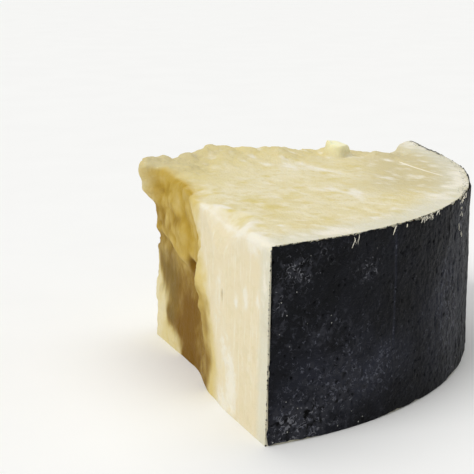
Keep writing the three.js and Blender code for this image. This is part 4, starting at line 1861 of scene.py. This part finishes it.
    def make(self, finish: bpy.types.Material) -> bpy.types.Object:
        """Build the coat as a closed profile carried round the rind.

        The profile is the outer skin from the lower edge to the upper one, and the inner wall
        back down in one step; it is closed by a flat cap at each cut.

        Args:
            finish: the coat's material.

        Returns:
            The finished piece.
        """
        form = self.form
        angle, level = self.grid()
        radius = form.rind_radius(angle)
        arc = angle * form.radius
        top = form.top_at(angle)
        low, high = self.edge_heights(arc[:, -1], top[:, -1])
        height = blend(low[:, None], high[:, None], level)
        flat_arc, flat_height = arc.ravel(), height.ravel()
        pit = self.pit_depth(laid_flat(flat_arc, flat_height))
        edge = np.minimum(level, 1.0 - level).ravel() * form.height
        cut = np.minimum(angle - form.front_angle, form.back_angle - angle).ravel() * form.radius
        keep = rise((edge + 0.3) / 1.5) * rise((cut + 0.3) / 1.5)
        out = self.relief(flat_arc, flat_height, pit) * keep
        out -= 0.25 * rise(1.0 - edge)
        rind = radius.ravel() + np.minimum(out, 0.0) + 0.6 * np.maximum(out, 0.0)
        outer = about_axis(rind.reshape(angle.shape), angle, height)
        ends = [-1, 0]
        inner = about_axis(radius[:, ends] - self.thickness, angle[:, ends], height[:, ends])
        plain = np.concatenate([outer, inner], axis=1)
        loop = plain.shape[1]
        moved = form.shaped(plain.reshape(-1, 3), np.zeros(plain.shape[0] * loop, dtype=bool))
        index = np.arange(len(moved)).reshape(-1, loop)
        after = np.roll(index, -1, axis=1)
        quads = np.stack([index[:-1], index[1:], after[1:], after[:-1]], axis=-1).reshape(-1, 4)
        caps = np.stack([index[0], index[-1][::-1]])
        marks = self.marks(flat_arc, flat_height, pit)
        marks = {
            name: np.pad(values.reshape(self.columns + 1, -1), ((0, 0), (0, 2))).ravel()
            for name, values in marks.items()
        }
        piece = Piece("rind_coat", moved, [quads, caps], marks)
        coat = piece.build(form, finish, self.sharp_degrees)
        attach(coat, BODY)
        return coat


@dataclass(frozen=True)
class Cluster:
    """Shavings that cling to the rind's upper edge: where, how many and how long."""

    degrees: float
    below_top: float
    spread_arc: float
    spread_height: float
    count: int
    length: float
    fan_degrees: float = 35.0


@dataclass
class RindShavings:
    """Thin curled slivers torn up by the saw along the rind's upper edge."""

    form: Quarter
    name: str = "rind_shavings"
    slot: Slot = Slot.PASTE
    highest: float = 0.15
    clusters: tuple = (
        Cluster(-41.3, 0.4, 4.4, 0.9, 26, 2.3, 75.0),
        Cluster(-57.7, 2.2, 1.3, 0.9, 4, 3.4, 30.0),
        Cluster(-49.6, 1.5, 0.4, 0.4, 2, 3.2, 8.0),
        Cluster(-46.8, 1.4, 0.8, 0.5, 2, 1.6),
        Cluster(-37.7, 0.6, 1.4, 0.6, 6, 1.6, 70.0),
        Cluster(-25.0, 0.9, 5.0, 1.2, 20, 1.8, 70.0),
        Cluster(-27.0, 9.0, 4.0, 8.0, 12, 1.5, 30.0),
    )
    half_width: float = 0.15
    half_depth: float = 0.12
    rings: int = 7
    seed: int = 5
    sharp_degrees: float = 70.0

    def make(self, finish: bpy.types.Material) -> bpy.types.Object:
        """Build all the slivers as one piece.

        Each sliver is a flat four-sided section carried along a short arc on the rind, and
        drawn to a point at both ends: its width is the half width times the sine of its run.

        Args:
            finish: the shavings' material.

        Returns:
            The finished piece.
        """
        draw = np.random.default_rng(self.seed)
        counts = [cluster.count for cluster in self.clusters]
        total = sum(counts)
        pick = np.repeat(np.arange(len(counts)), counts)
        rows = np.array([
            (math.radians(c.degrees) * self.form.radius, c.below_top, c.spread_arc, c.spread_height,
             c.length, math.radians(c.fan_degrees))
            for c in self.clusters
        ])[pick]
        arc = rows[:, 0] + rows[:, 2] * draw.uniform(-1.0, 1.0, total)
        below = rows[:, 1] + rows[:, 3] * draw.uniform(-1.0, 1.0, total)
        length = rows[:, 4] * draw.uniform(0.5, 1.1, total)
        heading = math.radians(-110.0) + rows[:, 5] * draw.normal(0.0, 1.0, total)
        curl = draw.uniform(-0.9, 0.9, total)
        run = np.linspace(0.0, 1.0, self.rings)
        turn = heading[:, None] + curl[:, None] * (run - 0.5)
        step = length[:, None] / (self.rings - 1)
        half = 0.5 * length[:, None]
        along = np.cumsum(np.cos(turn) * step, axis=1) - half * np.cos(heading)[:, None]
        down = np.cumsum(np.sin(turn) * step, axis=1) - half * np.sin(heading)[:, None]
        width = self.half_width * (0.12 + np.sin(math.pi * (0.06 + 0.88 * run)))
        side = np.array([-1.0, 0.0, 1.0, 0.0])
        lift = np.array([0.0, 1.0, 0.0, -1.0])
        across = side * width[None, :, None]
        point_arc = arc[:, None, None] + along[..., None] - np.sin(turn)[..., None] * across
        point_down = -below[:, None, None] + down[..., None] + np.cos(turn)[..., None] * across
        out = 0.08 + self.half_depth * lift * np.ones_like(point_arc)
        angle = point_arc / self.form.radius
        height = self.form.top_at(angle) + np.minimum(point_down, self.highest)
        plain = about_axis(self.form.rind_radius(angle) + out, angle, height)
        moved = self.form.shaped(plain.reshape(-1, 3), np.zeros(plain[..., 0].size, dtype=bool))
        index = np.arange(len(moved)).reshape(total, self.rings, 4)
        after = np.roll(index, -1, axis=2)
        quads = np.stack([index[:, :-1], after[:, :-1], after[:, 1:], index[:, 1:]], axis=-1)
        ends = np.concatenate([index[:, 0, ::-1], index[:, -1]])
        piece = Piece(self.name, moved, [quads.reshape(-1, 4), ends])
        piece = piece.build(self.form, finish, self.sharp_degrees)
        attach(piece, BODY)
        return piece


COAT_SHREDS = (
    Cluster(-42.0, -0.4, 4.6, 0.8, 22, 2.8, 70.0),
    Cluster(-45.5, -0.2, 1.5, 0.4, 5, 2.2, 60.0),
    Cluster(-25.0, 0.1, 6.0, 0.5, 12, 1.6, 70.0),
    Cluster(-60.0, 0.1, 26.0, 0.3, 12, 1.1, 60.0),
)


def turned_to(*columns: Array) -> Matrix:
    """Turn and place something.

    Args:
        columns: directions of its own X, Y and Z, and its place.

    Returns:
        The matrix.
    """
    placing = np.eye(4)
    placing[:3] = np.stack(columns, axis=1)
    return Matrix(placing.tolist())


@dataclass(frozen=True)
class Lamp:
    """A far lamp: the direction it shines from, its width in degrees and its strength."""

    name: str
    towards: tuple
    softness: float
    strength: float


@dataclass
class Studio:
    """White paper, soft light from the front left and above, and the camera."""

    form: Quarter
    focal_pixels: float = 1300.0
    frame_pixels: float = 474.0
    sensor_mm: float = 36.0
    camera_back: float = 577.88
    camera_height: float = 181.793
    pan: float = 0.08115562
    pitch: float = 0.23348018
    roll: float = -0.00203548
    floor_half: float = 4000.0
    room_light: float = 0.36
    lamps: tuple = (
        Lamp("key", (-1.0, -0.75, 1.15), 40.0, 1.55),
        Lamp("ceiling", (0.15, 0.35, 1.0), 50.0, 1.05),
    )

    def add_camera(self) -> None:
        """Place the camera straight in front of the wheel's axis.

        It is turned right by its pan, down by its pitch and over by its roll, in radians.
        """
        data = bpy.data.cameras.new("camera")
        data.sensor_width = self.sensor_mm
        data.lens = self.focal_pixels / self.frame_pixels * self.sensor_mm
        data.clip_start = 0.01
        camera = bpy.data.objects.new("camera", data)
        bpy.context.scene.collection.objects.link(camera)
        forward = np.array([
            math.sin(self.pan) * math.cos(self.pitch),
            math.cos(self.pan) * math.cos(self.pitch),
            -math.sin(self.pitch),
        ])
        level = np.array([math.cos(self.pan), -math.sin(self.pan), 0.0])
        upright = np.cross(level, forward)
        right = math.cos(self.roll) * level + math.sin(self.roll) * upright
        up = math.cos(self.roll) * upright - math.sin(self.roll) * level
        place = self.form.to_part(np.array([[0.0, -self.camera_back, self.camera_height]]))[0]
        camera.matrix_world = turned_to(right, up, -forward, place)
        bpy.context.scene.camera = camera

    def add_floor(self) -> None:
        """Lay a wide flat sheet of paper, as one net of points."""
        half = self.floor_half * METRES_PER_MM
        x = np.linspace(-half, half, 9)
        y = np.linspace(-half, half, 41)
        grid_x, grid_y = np.meshgrid(x, y, indexing="ij")
        points = np.stack([grid_x, grid_y, np.zeros_like(grid_x)], axis=-1).reshape(-1, 3)
        quads = net_quads(np.arange(grid_x.size).reshape(grid_x.shape))
        mesh = bpy.data.meshes.new("floor")
        mesh.from_pydata(points.tolist(), [], quads.tolist())
        mesh.materials.append(WHITE_PAPER.make())
        floor = bpy.data.objects.new("floor", mesh)
        bpy.context.scene.collection.objects.link(floor)

    def add_lamp(self, lamp: Lamp) -> None:
        """Hang a far soft lamp that shines on the cheese and the paper alike.

        Args:
            lamp: its direction, softness and strength.
        """
        data = bpy.data.lights.new(lamp.name, "SUN")
        data.angle = math.radians(lamp.softness)
        data.energy = lamp.strength
        holder = bpy.data.objects.new(lamp.name, data)
        bpy.context.scene.collection.objects.link(holder)
        away = np.array(lamp.towards) / np.linalg.norm(lamp.towards)
        side = np.cross([0.0, 1.0, 0.0], away)
        side = side / np.linalg.norm(side)
        holder.matrix_world = turned_to(side, np.cross(away, side), away, away)

    def add_sky(self) -> None:
        """Fill the room with even white light."""
        world = bpy.data.worlds.new("white_room")
        world.use_nodes = True
        background = world.node_tree.nodes["Background"]
        background.inputs["Color"].default_value = linear_colour("#ffffff")
        background.inputs["Strength"].default_value = self.room_light
        bpy.context.scene.world = world

    def make(self) -> None:
        """Set up the camera, the paper and the light."""
        self.add_camera()
        self.add_floor()
        for lamp in self.lamps:
            self.add_lamp(lamp)
        self.add_sky()
        bpy.context.scene.view_settings.view_transform = "Standard"


def main() -> None:
    """Build the cheese in order."""
    logging.basicConfig(level=logging.INFO, format="%(message)s")
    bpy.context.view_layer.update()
    form = Quarter.in_frame()
    log.info("axis at x %.3f mm, y %.3f mm", form.axis_x, form.axis_y)
    Studio(form).make()
    PasteBody(form).make(PasteFinish("aged_sheep_cheese_paste").make())
    coating = CoatFinish("black_rind_coat").make()
    RindCoat(form).make(coating)
    RindShavings(form).make(DRY_SHAVINGS.make())
    RindShavings(form, "coat_shreds", Slot.COAT, 0.35, COAT_SHREDS, seed=9).make(coating)


if __name__ == "__main__":
    main()
